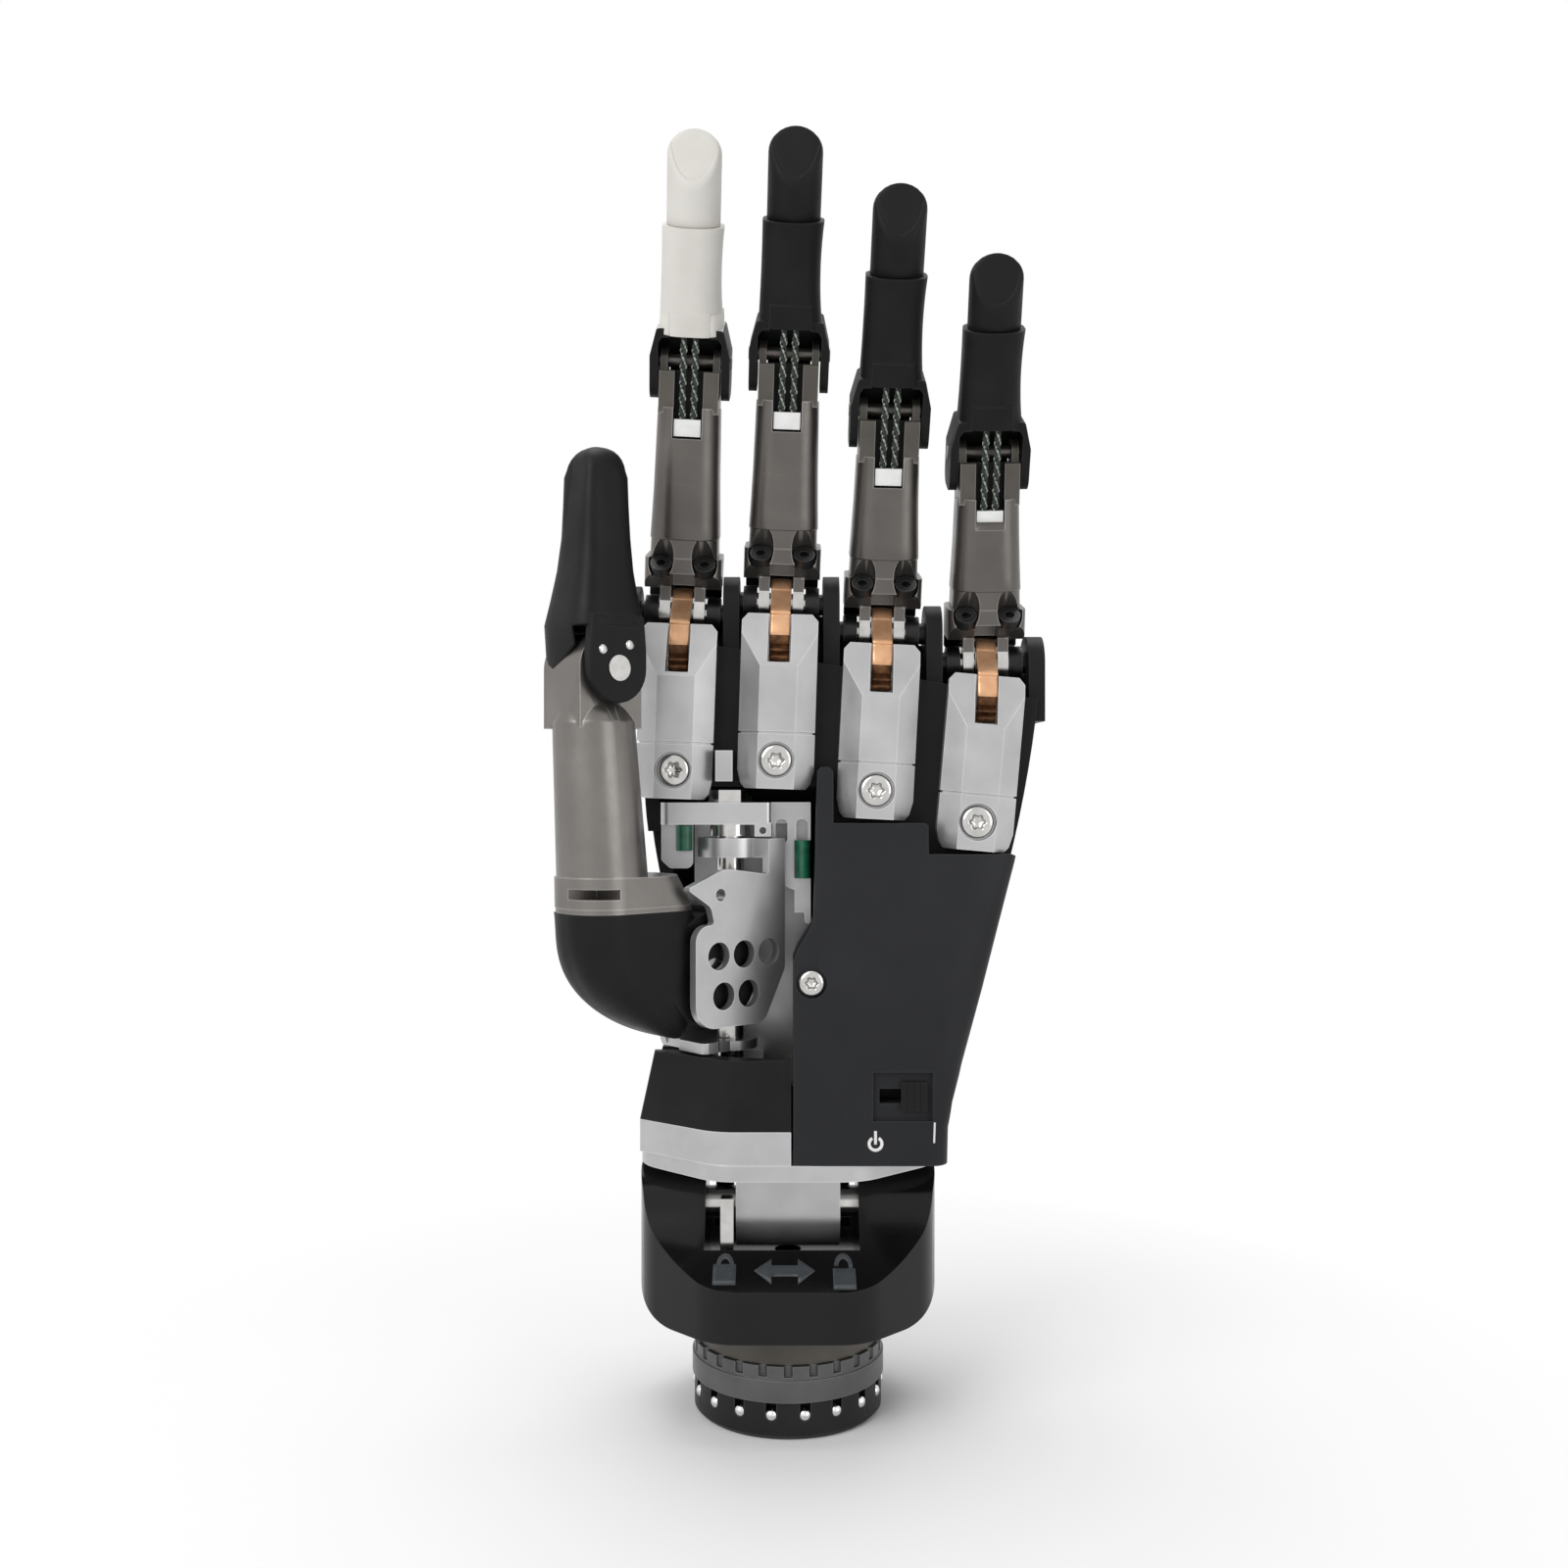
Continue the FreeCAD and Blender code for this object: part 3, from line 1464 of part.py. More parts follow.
nut = document.addObject("Part::Prism", "axle_nut")
nut.Polygon = 6
bind(nut, Circumradius="thumb_nut_flats / 1.7320508", Height="thumb_nut_height")
at(nut, ("thumb_x", "thumb_y", "thumb_axle_top"))
upper_axle = rod(
    "upper_axle", "thumb_axle_radius", "thumb_axle_top - lug_top + lug_thickness + 4", ("thumb_x", "thumb_y", "lug_top - lug_thickness - 4")
)
collar = rod(
    "axle_collar",
    "thumb_axle_radius + 1.2",
    "thumb_axle_top - frame_bar_height - lug_top - moving_gap",
    ("thumb_x", "thumb_y", "lug_top + moving_gap"),
)
lower_axle = rod(
    "lower_axle",
    "thumb_axle_radius",
    size["pivot_knob_top"] - foot - 2,
    ("thumb_x", "thumb_y", foot + 2),
)
keep(group("thumb_axle", fuse("upper_axle_set", upper_axle, nut, collar), lower_axle), "thumb_axle")

# Thumb, drawn with its radial direction along X and its bending axis along Y
thumb = Placement(
    Vector(size["thumb_x"], size["thumb_y"], 0), Rotation(Vector(0, 0, 1), size["thumb_turn"])
)
inner = size["cheek_inner"]
cheek_outline = rounded(
    size["cheek_far"] - size["cheek_near"],
    size["cheek_top"] - size["cheek_bottom"],
    size["cheek_corner"],
    (size["cheek_far"] + size["cheek_near"]) / 2,
    (size["cheek_top"] + size["cheek_bottom"]) / 2,
)
outer = inner + size["cheek_thickness"]
fin_tip = size["fin_tip_up"]
near_outline = [
    (size["cheek_near"], size["cheek_slant_up"], 2.0),
    (size["cheek_slant_out"], size["cheek_bottom"], 3.0),
    (size["cheek_far"], size["cheek_bottom"], size["cheek_corner"]),
    (size["cheek_far"], size["cheek_top"], 3.0),
    (size["fin_root_out"], size["cheek_top"], 0.6),
    (size["fin_root_out"] + 0.8, fin_tip - 3.4, 2.0),
    (size["fin_tip_out"], fin_tip, 0.5),
    (size["fin_top_out"], size["fin_top_up"], 8.0),
    (size["web_far"], size["fin_top_up"] - 1.4, 0.6),
    (size["web_far"], size["lug_top"], 0.8),
    (size["cheek_near"], size["lug_top"], 1.2),
]
near_cheek = prism("near_cheek", near_outline, "front", -outer, "cheek_thickness")
far_cheek = prism("far_cheek", cheek_outline, "front", inner, "cheek_thickness")
far_web = block(
    "bracket_far_web",
    ("cheek_near", "-cheek_inner - cheek_thickness", "cheek_bottom + 8"),
    ("hood_far - cheek_near", "cheek_thickness", "hood_bottom + hood_thickness - cheek_bottom - 8"),
)
hood = block(
    "bracket_hood",
    ("cheek_near", "-cheek_inner - cheek_thickness", "hood_bottom"),
    ("hood_far - cheek_near", "(cheek_inner + cheek_thickness) * 2", "hood_thickness"),
)
lug_disc = rod("lug_disc", "lug_radius", "lug_thickness", ("0", "0", "lug_top - lug_thickness"))
lug_arm = block(
    "lug_arm",
    ("cheek_near", "0", "lug_top - lug_thickness"),
    ("web_far - cheek_near", "cheek_inner + cheek_thickness", "lug_thickness"),
)
lower_disc = rod("lower_disc", "lug_radius - 1", "lower_lug_thickness", ("0", "0", "lower_lug_bottom"))
lower_arm = block(
    "lower_arm",
    ("cheek_near", "-cheek_inner - cheek_thickness", "lower_lug_bottom"),
    ("8 - cheek_near", "cheek_inner + cheek_thickness", "lower_lug_thickness"),
)
lower_web = prism(
    "lower_web",
    [
        (size["cheek_near"], size["lower_lug_bottom"], 1.0),
        (8, size["lower_lug_bottom"], 1.0),
        (12, size["cheek_bottom"] + 6),
        (size["cheek_near"], size["cheek_bottom"] + 12),
    ],
    "front",
    inner,
    "cheek_thickness",
)
clamp = prism(
    "bracket_clamp",
    [
        (size["thumb_axle_radius"] + 0.6, -4, 0.5),
        (size["clamp_far"], -4, 1.2),
        (size["clamp_far"], size["clamp_front"], 1.2),
        (size["thumb_axle_radius"] + 0.6, size["clamp_front"], 0.5),
    ],
    "top",
    size["lower_lug_bottom"],
    "clamp_height",
)
clamp_split = block(
    "clamp_split", (size["clamp_far"] / 2 + 1.0, "clamp_front - 1.2", "0"), ("clamp_split", "2", "200")
)
bracket_solid = fuse(
    "bracket_solid",
    near_cheek,
    far_cheek,
    far_web,
    hood,
    lug_disc,
    lug_arm,
    lower_disc,
    lower_arm,
    lower_web,
    clamp,
)
axle_bore = rod("bracket_axle_bore", "thumb_axle_radius + running_gap", "80", ("0", "0", "40"))
holes = []
cheek_x = size["cheek_hole_out"]
shifted = size["cheek_hole_shift"]
cheek_z = (size["cheek_top"] + size["cheek_bottom"]) / 2
pitch = size["cheek_hole_pitch"]
rise = size["cheek_hole_rise"] / 2
for i, (x, z) in enumerate(((-pitch, rise), (0, rise), (pitch, rise), (shifted - pitch / 2, -rise), (shifted + pitch / 2, -rise))):
    holes.append(
        rod("cheek_hole_%d" % i, "cheek_hole_radius", "cheek_thickness + 2", (cheek_x + x, "cheek_inner - 1", cheek_z + z), "Y")
    )
holes.append(
    rod("fin_hole", "fin_hole_radius", "cheek_thickness + 2", ("fin_hole_out", "cheek_inner - 1", "fin_hole_up"), "Y")
)
far_bore = rod("far_hub_bore", "hub_pin_radius + running_gap", "20", ("hub_axis_out", "-20", "hub_axis_up"), "Y")
keep(cut("thumb_bracket", bracket_solid, axle_bore, far_bore, clamp_split, *holes), "thumb_bracket", thumb)

# Elbow with its hub, lofted down to a rounded heel
centre = size["elbow_centre"]
long_half = size["elbow_half_long"]
wide_half = size["elbow_half_wide"]
inner_end = centre - long_half
HEEL = (
    (-23.0, 0.16, 0.42, 2.6),
    (-21.4, 0.36, 0.66, 1.2),
    (-18.0, 0.64, 0.85, 0.2),
    (-13.0, 0.86, 0.95, 0.0),
    (-7.0, 0.97, 1.0, 0.0),
    (0.0, 1.0, 1.0, 0.0),
)
sections = []
for below, stretch, breadth, shift in HEEL:
    start = inner_end + shift
    end = inner_end + long_half * 2 * stretch
    corner = min(end - start, wide_half * 2 * breadth) / 2 * 0.88
    sections.append(
        (size["elbow_top"] + below, rounded(end - start, wide_half * 2 * breadth, corner, (start + end) / 2, 0.0))
    )
heel = loft("elbow_heel", sections, False)
hub = rod("elbow_hub", "thumb_hub_radius", "thumb_hub_half * 2", ("hub_axis_out", "-thumb_hub_half", "hub_axis_up"), "Y")
pin_seat = rod("elbow_pin_seat", "hub_pin_radius + seat_gap", "60", ("hub_axis_out", "-30", "hub_axis_up"), "Y")
keep(cut("thumb_elbow", fuse("elbow_solid", heel, hub), pin_seat), "thumb_elbow", thumb)

# Thumb tube with its base flange and tongue
flange_top = size["elbow_top"] + size["thumb_flange_height"]
seam = size["seat_gap"]
seam_ring = prism(
    "thumb_seam_ring",
    rounded(long_half * 2 - 0.5, wide_half * 2 - 0.5, wide_half * 0.86, centre, 0.0),
    "top",
    size["elbow_top"] + seam,
    "thumb_ring_height",
)
base = loft(
    "thumb_flange",
    [
        (
            size["elbow_top"] + size["thumb_ring_height"],
            rounded(long_half * 2 - 0.3, wide_half * 2 - 0.3, wide_half * 0.86, centre, 0.0),
        ),
        (flange_top, rounded(long_half * 2 - 3.4, wide_half * 2 - 0.4, wide_half * 0.86, centre + 1.7, 0.0)),
    ],
)
tube_out = size["thumb_tube_out"]
shift = math.tan(math.radians(size["thumb_tube_lean"]))
low_radius = size["thumb_tube_radius_low"]
high_radius = size["thumb_tube_radius_high"]
top_out = tube_out + shift * (size["thumb_tube_top"] - flange_top)
tube = loft(
    "thumb_barrel",
    [
        (flange_top - 1, rounded(low_radius * 2, low_radius * 2, low_radius * 0.93, tube_out, 0.0)),
        (size["thumb_tube_top"], rounded(high_radius * 2, high_radius * 2, high_radius * 0.93, top_out, 0.0)),
        (
            size["thumb_tube_top"] + 3.5,
            rounded(high_radius * 1.5, high_radius * 1.3, high_radius * 0.6, top_out + 0.2, 0.0),
        ),
    ],
)
tongue_radius = size["thumb_tongue_radius"]
tip_out = size["tip_axis_out"]
tip_up = size["tip_axis_up"]
thumb_tongue = prism(
    "thumb_tongue",
    [
        (tip_out - tongue_radius, size["thumb_tube_top"] - 1),
        (tip_out + tongue_radius, size["thumb_tube_top"] - 1),
        (tip_out + tongue_radius, tip_up + tongue_radius, tongue_radius - 0.01),
        (tip_out - tongue_radius, tip_up + tongue_radius, tongue_radius - 0.01),
    ],
    "front",
    -size["thumb_tongue_half"],
    "thumb_tongue_half + thumb_tongue_far",
)
tip_bore = rod("thumb_tip_bore", "thumb_pin_radius + seat_gap", "60", (tip_out, "-5.5", tip_up), "Y")
tube_slot = block(
    "thumb_slot",
    (centre + long_half - 6.0, "1.0", size["elbow_top"] + 2.6),
    ("10", "12", "thumb_slot_width"),
)
keep(
    cut("thumb_tube", fuse("thumb_tube_solid", seam_ring, base, tube, thumb_tongue), tip_bore, tube_slot),
    "thumb_tube",
    thumb,
)

# Thumb tip with its fork
fork_in = size["thumb_tongue_half"] + size["fork_gap"]
fork_out = fork_in + size["thumb_fork_thickness"]
fork_radius = size["thumb_fork_radius"]
tip_top = tip_up + size["thumb_tip_length"]
sleeve_low = tip_up + size["thumb_sleeve_bottom"]
thumb_sleeve = loft(
    "thumb_sleeve",
    [
        (sleeve_low, rounded(size["thumb_sleeve_depth"], fork_out * 2, 4.0, tip_out, 0.0)),
        (sleeve_low + 8, rounded(size["thumb_sleeve_depth"], size["thumb_sleeve_width"], 4.6, tip_out, 0.0)),
        (tip_top - 7, rounded(size["thumb_top_depth"] + 1.6, size["thumb_top_width"] + 0.8, 4.2, tip_out - 0.2, 0.0)),
        (tip_top - 2, rounded(size["thumb_top_depth"], size["thumb_top_width"] - 1.0, 3.8, tip_out - 0.5, 0.0)),
        (tip_top, rounded(size["thumb_top_depth"] - 3.6, size["thumb_top_width"] - 4.2, 2.2, tip_out - 0.7, 0.0)),
    ],
)
fork_shape = [
    (tip_out - fork_radius, sleeve_low + 1),
    (tip_out - fork_radius, tip_up - fork_radius, fork_radius - 0.01),
    (tip_out + fork_radius, tip_up - fork_radius, fork_radius - 0.01),
    (tip_out + fork_radius, sleeve_low + 1),
]
near_fork = prism("thumb_near_fork", fork_shape, "front", -fork_out, "thumb_fork_thickness")
fork_bore = rod("thumb_fork_bore", "thumb_pin_radius + running_gap", "60", (tip_out, "-30", tip_up), "Y")
studs = [
    rod("thumb_stud_%d" % i, "stud_radius", "1 + stud_proud", (tip_out + x, fork_out - 1, tip_up + z), "Y")
    for i, (x, z) in enumerate(((-2.2, 4.0), (3.3, 3.0)))
]
nail = prism(
    "thumb_nail_cut",
    [
        (tip_out + 4.9, tip_top - 15),
        (tip_out + 3.2, tip_top + 3),
        (tip_out + 12, tip_top + 3),
        (tip_out + 12, tip_top - 15),
    ],
    "front",
    -20.0,
    "40",
)
keep(
    cut("thumb_distal_shell", fuse("thumb_shell_solid", thumb_sleeve, near_fork, *studs), fork_bore, nail),
    "thumb_distal_shell",
    thumb,
)
tip_pin_half = fork_out + 0.3
hub_pin_half = size["thumb_hub_half"]
thumb_pins = [
    rod("thumb_tip_pin", "thumb_pin_radius", tip_pin_half + 5.4, (tip_out, -5.4, tip_up), "Y"),
    rod("thumb_hub_pin", "hub_pin_radius", hub_pin_half + outer, (size["hub_axis_out"], -outer, size["hub_axis_up"]), "Y"),
]
keep(group("thumb_pins", *thumb_pins), "thumb_pins", thumb)

# Control board and its wires
board = block("board_plate", ("9", "2", "60"), ("15.5", "board_thickness", "38"))
board_posts = common(
    "board_posts",
    fuse(
        "board_post_rods",
        rod("board_post_low", "2", "30", ("14", str(2 + size["board_thickness"] - 0.5), "64"), "Y"),
        rod("board_post_high", "2", "30", ("21", str(2 + size["board_thickness"] - 0.5), "92"), "Y"),
    ),
    inner_room,
)
wire_front = -size["frame_leg_front"] - size["wire_radius"] - 0.05
left_wire = rod("left_wire", "wire_radius", "4.6", (-19.0, wire_front, bar_low - 4.8))
right_wire = rod("right_wire", "wire_radius", "7", (size["frame_right"] - 1.5, -5 - size["wire_radius"] - 0.05, 99.5))
keep(group("control_board", fuse("board", board, board_posts), left_wire, right_wire), "control_board")

document.recompute()
os.makedirs("parts", exist_ok=True)
for item in document.Objects:
    if "Invalid" in item.State or "Error" in item.State:
        raise RuntimeError("not built: " + item.Name)
for item in PARTS:
    shape = item.Shape
    if shape.isNull() or not shape.isValid() or not shape.Solids:
        raise RuntimeError("no sound shape: " + item.Label)
    shape.exportStep("parts/%s.step" % item.Label)
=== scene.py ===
import json
import math

import bmesh
import bpy
from mathutils import Matrix, Vector
from mathutils.bvhtree import BVHTree
from mathutils.geometry import interpolate_bezier


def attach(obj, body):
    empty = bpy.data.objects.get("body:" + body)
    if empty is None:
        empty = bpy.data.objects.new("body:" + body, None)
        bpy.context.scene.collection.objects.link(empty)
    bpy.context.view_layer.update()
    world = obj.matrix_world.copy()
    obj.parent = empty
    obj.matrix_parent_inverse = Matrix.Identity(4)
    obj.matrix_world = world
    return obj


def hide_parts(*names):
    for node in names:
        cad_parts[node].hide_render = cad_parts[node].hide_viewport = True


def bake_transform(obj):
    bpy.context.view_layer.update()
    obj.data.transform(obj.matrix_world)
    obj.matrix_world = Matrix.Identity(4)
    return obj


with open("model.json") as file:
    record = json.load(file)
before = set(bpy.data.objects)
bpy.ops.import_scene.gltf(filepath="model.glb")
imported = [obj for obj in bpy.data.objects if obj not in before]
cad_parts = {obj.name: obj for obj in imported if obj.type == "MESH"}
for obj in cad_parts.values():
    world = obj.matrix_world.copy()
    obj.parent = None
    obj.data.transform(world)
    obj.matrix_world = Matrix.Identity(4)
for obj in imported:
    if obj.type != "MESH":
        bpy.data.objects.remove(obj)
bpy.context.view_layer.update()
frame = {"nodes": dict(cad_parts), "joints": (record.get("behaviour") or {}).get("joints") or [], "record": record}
nodes = frame["nodes"]
joints = {joint["name"]: joint for joint in frame["joints"]}
slot_of = {row["node"]: row["material_slot"] for row in frame["record"]["subparts"]}
scene = bpy.context.scene

# Lengths are in millimetres, which this turns into the scene's metres
MM = 0.001
PLAIN = Matrix.Scale(MM, 4)
# Turns a form's Z axis to +Y, from the palm side to the back of the hand
TO_BACK = Matrix.Rotation(math.radians(-90), 4, "X")
FINGERS = ("index", "middle", "ring", "little")
TIP_BEND = math.radians(13)


# Places on the hand
def knuckle_of(finger):
    """A finger's knuckle, in metres."""
    return Vector(joints[finger + "_flexion"]["pos_m"])


def finger_frame(finger, part):
    """A finger link's own frame: X along its hinge, Z along the link, -Y to the palm side."""
    low = knuckle_of(finger)
    high = Vector(joints[finger + "_tip_flexion"]["pos_m"])
    across = Vector(joints[finger + "_flexion"]["axis"]).normalized()
    along = (high - low).normalized()
    origin = low
    if part == "distal":
        along = Matrix.Rotation(TIP_BEND, 3, across) @ along
        origin = high
    deep = along.cross(across)
    turn = Matrix((across, deep, along)).transposed().to_4x4()
    return Matrix.Translation(origin) @ turn @ PLAIN


def hinge_pin(finger):
    """Where a finger's hinge pin lies in the frame of its proximal link."""
    place = finger_frame(finger, "proximal").inverted()
    return place @ Vector(joints[finger + "_tip_flexion"]["pos_m"])


def thumb_frame():
    """The thumb's frame: X outward, Y along its bending axis, Z up from the coupling's foot."""
    across = Vector(joints["thumb_extension"]["axis"]).normalized()
    up = Vector((0, 0, 1))
    out = across.cross(up)
    axle = Vector(joints["thumb_rotation"]["pos_m"])
    turn = Matrix((out, across, up)).transposed().to_4x4()
    return Matrix.Translation((axle.x, axle.y, 0)) @ turn @ PLAIN


# Materials
EDGE_RADIUS = 0.35
EDGE_FACING = (0.86, 0.995)
CLOUD_RANGE = (0.3, 0.7)
GRAIN_RANGE = (0.35, 0.65)
RELIEF_STRENGTH = 0.8
COAT_ROUGHNESS = 0.06
MATERIALS = {}


def feed(tree, node, values):
    """Gives a node's inputs, by name or place, their values or other nodes' outputs."""
    for key, value in values.items():
        if isinstance(value, bpy.types.NodeSocket):
            tree.links.new(value, node.inputs[key])
        else:
            node.inputs[key].default_value = value


def calculate(tree, kind, operation, *values):
    """A calculation, of one kind of node, on values and other nodes' outputs."""
    node = tree.nodes.new(kind)
    node.operation = operation
    feed(tree, node, dict(enumerate(values)))
    return node


def noise(tree, coords, size_mm, detail, stretch=(1, 1, 1), turn=(0, 0, 0)):
    """A noise texture whose features are about that many millimetres across."""
    mapping = tree.nodes.new("ShaderNodeMapping")
    turns = [math.radians(angle) for angle in turn]
    feed(tree, mapping, {"Vector": coords, "Scale": stretch, "Rotation": turns})
    texture = tree.nodes.new("ShaderNodeTexNoise")
    vector = mapping.outputs["Vector"]
    feed(tree, texture, {"Vector": vector, "Scale": 1.0 / (size_mm * MM), "Detail": detail})
    return texture.outputs["Fac"]


def spread(tree, factor, low, high, start, end):
    """Stretches a factor's range from start to end over low to high."""
    node = tree.nodes.new("ShaderNodeMapRange")
    feed(tree, node, {"Value": factor, "From Min": start, "From Max": end, "To Min": low, "To Max": high})
    return node.outputs["Result"]


def mix(tree, factor, first, second):
    """Mixes two colours, each a value or another node's output."""
    node = tree.nodes.new("ShaderNodeMix")
    node.data_type = "RGBA"
    feed(tree, node, {0: factor, 6: first, 7: second})
    return node.outputs[2]


def edge_highlight_mask(tree):
    """Nearly 1 along convex and concave edges, 0 on open faces: the mask of the painted edge highlight."""
    bevel = tree.nodes.new("ShaderNodeBevel")
    bevel.samples = 4
    feed(tree, bevel, {"Radius": EDGE_RADIUS * MM})
    plain = tree.nodes.new("ShaderNodeNewGeometry")
    normals = bevel.outputs["Normal"], plain.outputs["Normal"]
    dot = calculate(tree, "ShaderNodeVectorMath", "DOT_PRODUCT", *normals)
    return spread(tree, dot.outputs["Value"], 1.0, 0.0, *EDGE_FACING)


def surface(
    name, dark, light, metallic, rough, patch, grain, bump,
    stretch=(1, 1, 1), turn=(0, 0, 0), specular=0.5, coat=0.0, edge=None,
):
    """Adds a solid finish: clouded colour, grain in roughness and bump, and paler edges, a painted edge highlight.
    """
    material = bpy.data.materials.new(name)
    material.use_nodes = True
    MATERIALS[name] = material
    tree = material.node_tree
    shader = tree.nodes["Principled BSDF"]
    coords = tree.nodes.new("ShaderNodeTexCoord").outputs["Object"]
    cloud = noise(tree, coords, patch, 4.0)
    middle = noise(tree, coords, patch * 0.6, 5.0)
    fine = noise(tree, coords, grain, 2.0, stretch, turn)
    colour = mix(tree, spread(tree, cloud, 0.0, 1.0, *CLOUD_RANGE), (*dark, 1.0), (*light, 1.0))
    # Paler colour along convex and concave edges: a painted edge highlight
    if edge:
        colour = mix(tree, edge_highlight_mask(tree), colour, (*edge, 1.0))
    half = calculate(tree, "ShaderNodeMath", "MULTIPLY", middle, 0.5).outputs[0]
    mean = calculate(tree, "ShaderNodeMath", "MULTIPLY_ADD", fine, 0.5, half).outputs[0]
    relief = tree.nodes.new("ShaderNodeBump")
    feed(tree, relief, {"Height": fine, "Distance": bump * MM, "Strength": RELIEF_STRENGTH})
    feed(tree, shader, {
        "Base Color": colour, "Roughness": spread(tree, mean, *rough, *GRAIN_RANGE),
        "Normal": relief.outputs["Normal"], "Metallic": metallic, "Specular IOR Level": specular,
        "Coat Weight": coat, "Coat Roughness": COAT_ROUGHNESS,
    })


# Each finish: dark and light colour, metallic share, roughness, cloud and grain size, bump height; edge is the
# colour of a painted edge highlight
surface(
    "black_plastic", (0.0052, 0.0052, 0.0056), (0.0085, 0.0085, 0.009), 0.0, (0.4, 0.54), 7, 0.18, 0.006,
    specular=0.15, edge=(0.022, 0.022, 0.0235),
)
surface(
    "gloss_black", (0.004, 0.004, 0.0044), (0.006, 0.006, 0.0065), 0.0, (0.14, 0.22), 12, 0.6, 0.0012,
    specular=0.22, coat=0.06, edge=(0.016, 0.016, 0.017),
)
surface(
    "charcoal_plastic", (0.0125, 0.013, 0.0145), (0.0165, 0.017, 0.019), 0.0, (0.44, 0.58), 15, 0.16, 0.005,
    specular=0.16, edge=(0.036, 0.037, 0.04),
)
surface(
    "warm_grey_metal", (0.105, 0.097, 0.09), (0.135, 0.125, 0.116), 0.85, (0.28, 0.4), 9, 0.12, 0.003,
    stretch=(1, 1, 0.06), turn=(-15, 0, 0), edge=(0.3, 0.285, 0.27),
)
surface(
    "thumb_metal", (0.16, 0.15, 0.14), (0.2, 0.188, 0.176), 0.85, (0.28, 0.4), 10, 0.12, 0.003,
    stretch=(1, 1, 0.06), edge=(0.4, 0.38, 0.36),
)
surface(
    "silver_metal", (0.42, 0.42, 0.425), (0.5, 0.5, 0.505), 0.8, (0.28, 0.4), 8, 0.14, 0.003,
    edge=(0.7, 0.7, 0.71),
)
surface(
    "white_rubber", (0.56, 0.54, 0.505), (0.62, 0.605, 0.57), 0.0, (0.45, 0.6), 9, 0.3, 0.006,
    specular=0.3,
)
surface(
    "black_rubber", (0.0055, 0.0055, 0.006), (0.009, 0.009, 0.0096), 0.0, (0.48, 0.64), 8, 0.22, 0.008,
    specular=0.14, edge=(0.02, 0.02, 0.021),
)
surface("steel", (0.5, 0.49, 0.47), (0.62, 0.61, 0.6), 1.0, (0.14, 0.26), 2.5, 0.1, 0.0015)
surface(
    "black_steel", (0.009, 0.009, 0.009), (0.016, 0.016, 0.016), 0.4, (0.28, 0.42), 2, 0.1, 0.002,
    edge=(0.07, 0.07, 0.07),
)
surface("ball_steel", (0.72, 0.72, 0.72), (0.8, 0.8, 0.8), 1.0, (0.05, 0.12), 2, 0.2, 0.0006)
surface(
    "grey_ring", (0.085, 0.085, 0.086), (0.115, 0.115, 0.116), 0.5, (0.34, 0.46), 6, 0.12, 0.003,
    edge=(0.2, 0.2, 0.2),
)
surface(
    "black_cage", (0.009, 0.009, 0.0095), (0.014, 0.014, 0.0147), 0.0, (0.36, 0.5), 6, 0.15, 0.004,
    specular=0.22, edge=(0.04, 0.04, 0.04),
)
surface(
    "neck_metal", (0.07, 0.064, 0.055), (0.095, 0.087, 0.075), 0.6, (0.3, 0.42), 7, 0.12, 0.002,
    edge=(0.2, 0.19, 0.17),
)
surface("copper_strip", (0.62, 0.33, 0.17), (0.76, 0.45, 0.26), 0.55, (0.26, 0.4), 3, 0.1, 0.002)
# The ribbons' ends down in the covers' slots: dark brown, a painted shade
surface("copper_in_painted_shade", (0.05, 0.02, 0.008), (0.2, 0.09, 0.035), 0.7, (0.35, 0.6), 1.2, 0.1, 0.01)
surface("cord", (0.008, 0.012, 0.009), (0.024, 0.03, 0.026), 0.0, (0.6, 0.8), 1.0, 0.15, 0.02)
surface("cord_fleck", (0.2, 0.24, 0.2), (0.42, 0.46, 0.4), 0.0, (0.6, 0.8), 0.8, 0.15, 0.02)
surface("board_green", (0.006, 0.08, 0.04), (0.014, 0.16, 0.085), 0.0, (0.25, 0.4), 2, 0.2, 0.004)
surface("motor_metal", (0.4, 0.4, 0.4), (0.5, 0.5, 0.5), 1.0, (0.2, 0.35), 3, 0.1, 0.002)
surface("white_plastic", (0.66, 0.66, 0.65), (0.74, 0.74, 0.73), 0.0, (0.4, 0.5), 2, 0.2, 0.003)
surface("grey_print", (0.036, 0.042, 0.046), (0.05, 0.057, 0.062), 0.0, (0.4, 0.55), 2, 0.2, 0.002)

# Dressing the CAD nodes
WELD_M = 2e-6
SOFT_EDGE = 0.15
SOFT_EDGES = {
    "wrist_housing": 0.45, "back_shell": 0.5, "thumb_elbow": 0.4, "wrist_cover": 0.4,
    "wrist_ring": 0.3, "wrist_band": 0.3, "thumb_tube": 0.35,
}


def soften(item, bevel_mm, limit=38):
    """Rounds the edges of a piece that are sharper than a limit in degrees."""
    weld = item.modifiers.new("weld", "WELD")
    weld.merge_threshold = WELD_M
    bevel = item.modifiers.new("bevel", "BEVEL")
    bevel.width = bevel_mm * MM
    bevel.segments = 2
    bevel.limit_method = "ANGLE"
    bevel.angle_limit = math.radians(limit)
    bevel.harden_normals = True
    bevel.miter_outer = "MITER_ARC"


def dress(name, bevel_mm):
    """Gives a CAD node its material, softened edges and smooth shading."""
    node = nodes[name]
    mesh = node.data
    mesh.materials.clear()
    mesh.materials.append(MATERIALS[slot_of[name]])
    for polygon in mesh.polygons:
        polygon.material_index = 0
        polygon.use_smooth = True
    bpy.context.view_layer.objects.active = node
    bpy.ops.mesh.customdata_custom_splitnormals_clear()
    soften(node, bevel_mm)


def paint(name, material, test=None):
    """Puts another material on a node, or on those of its faces whose centres pass a test."""
    mesh = nodes[name].data
    mesh.materials.append(MATERIALS[material])
    index = len(mesh.materials) - 1
    for polygon in mesh.polygons:
        if test is None or test(polygon.center):
            polygon.material_index = index


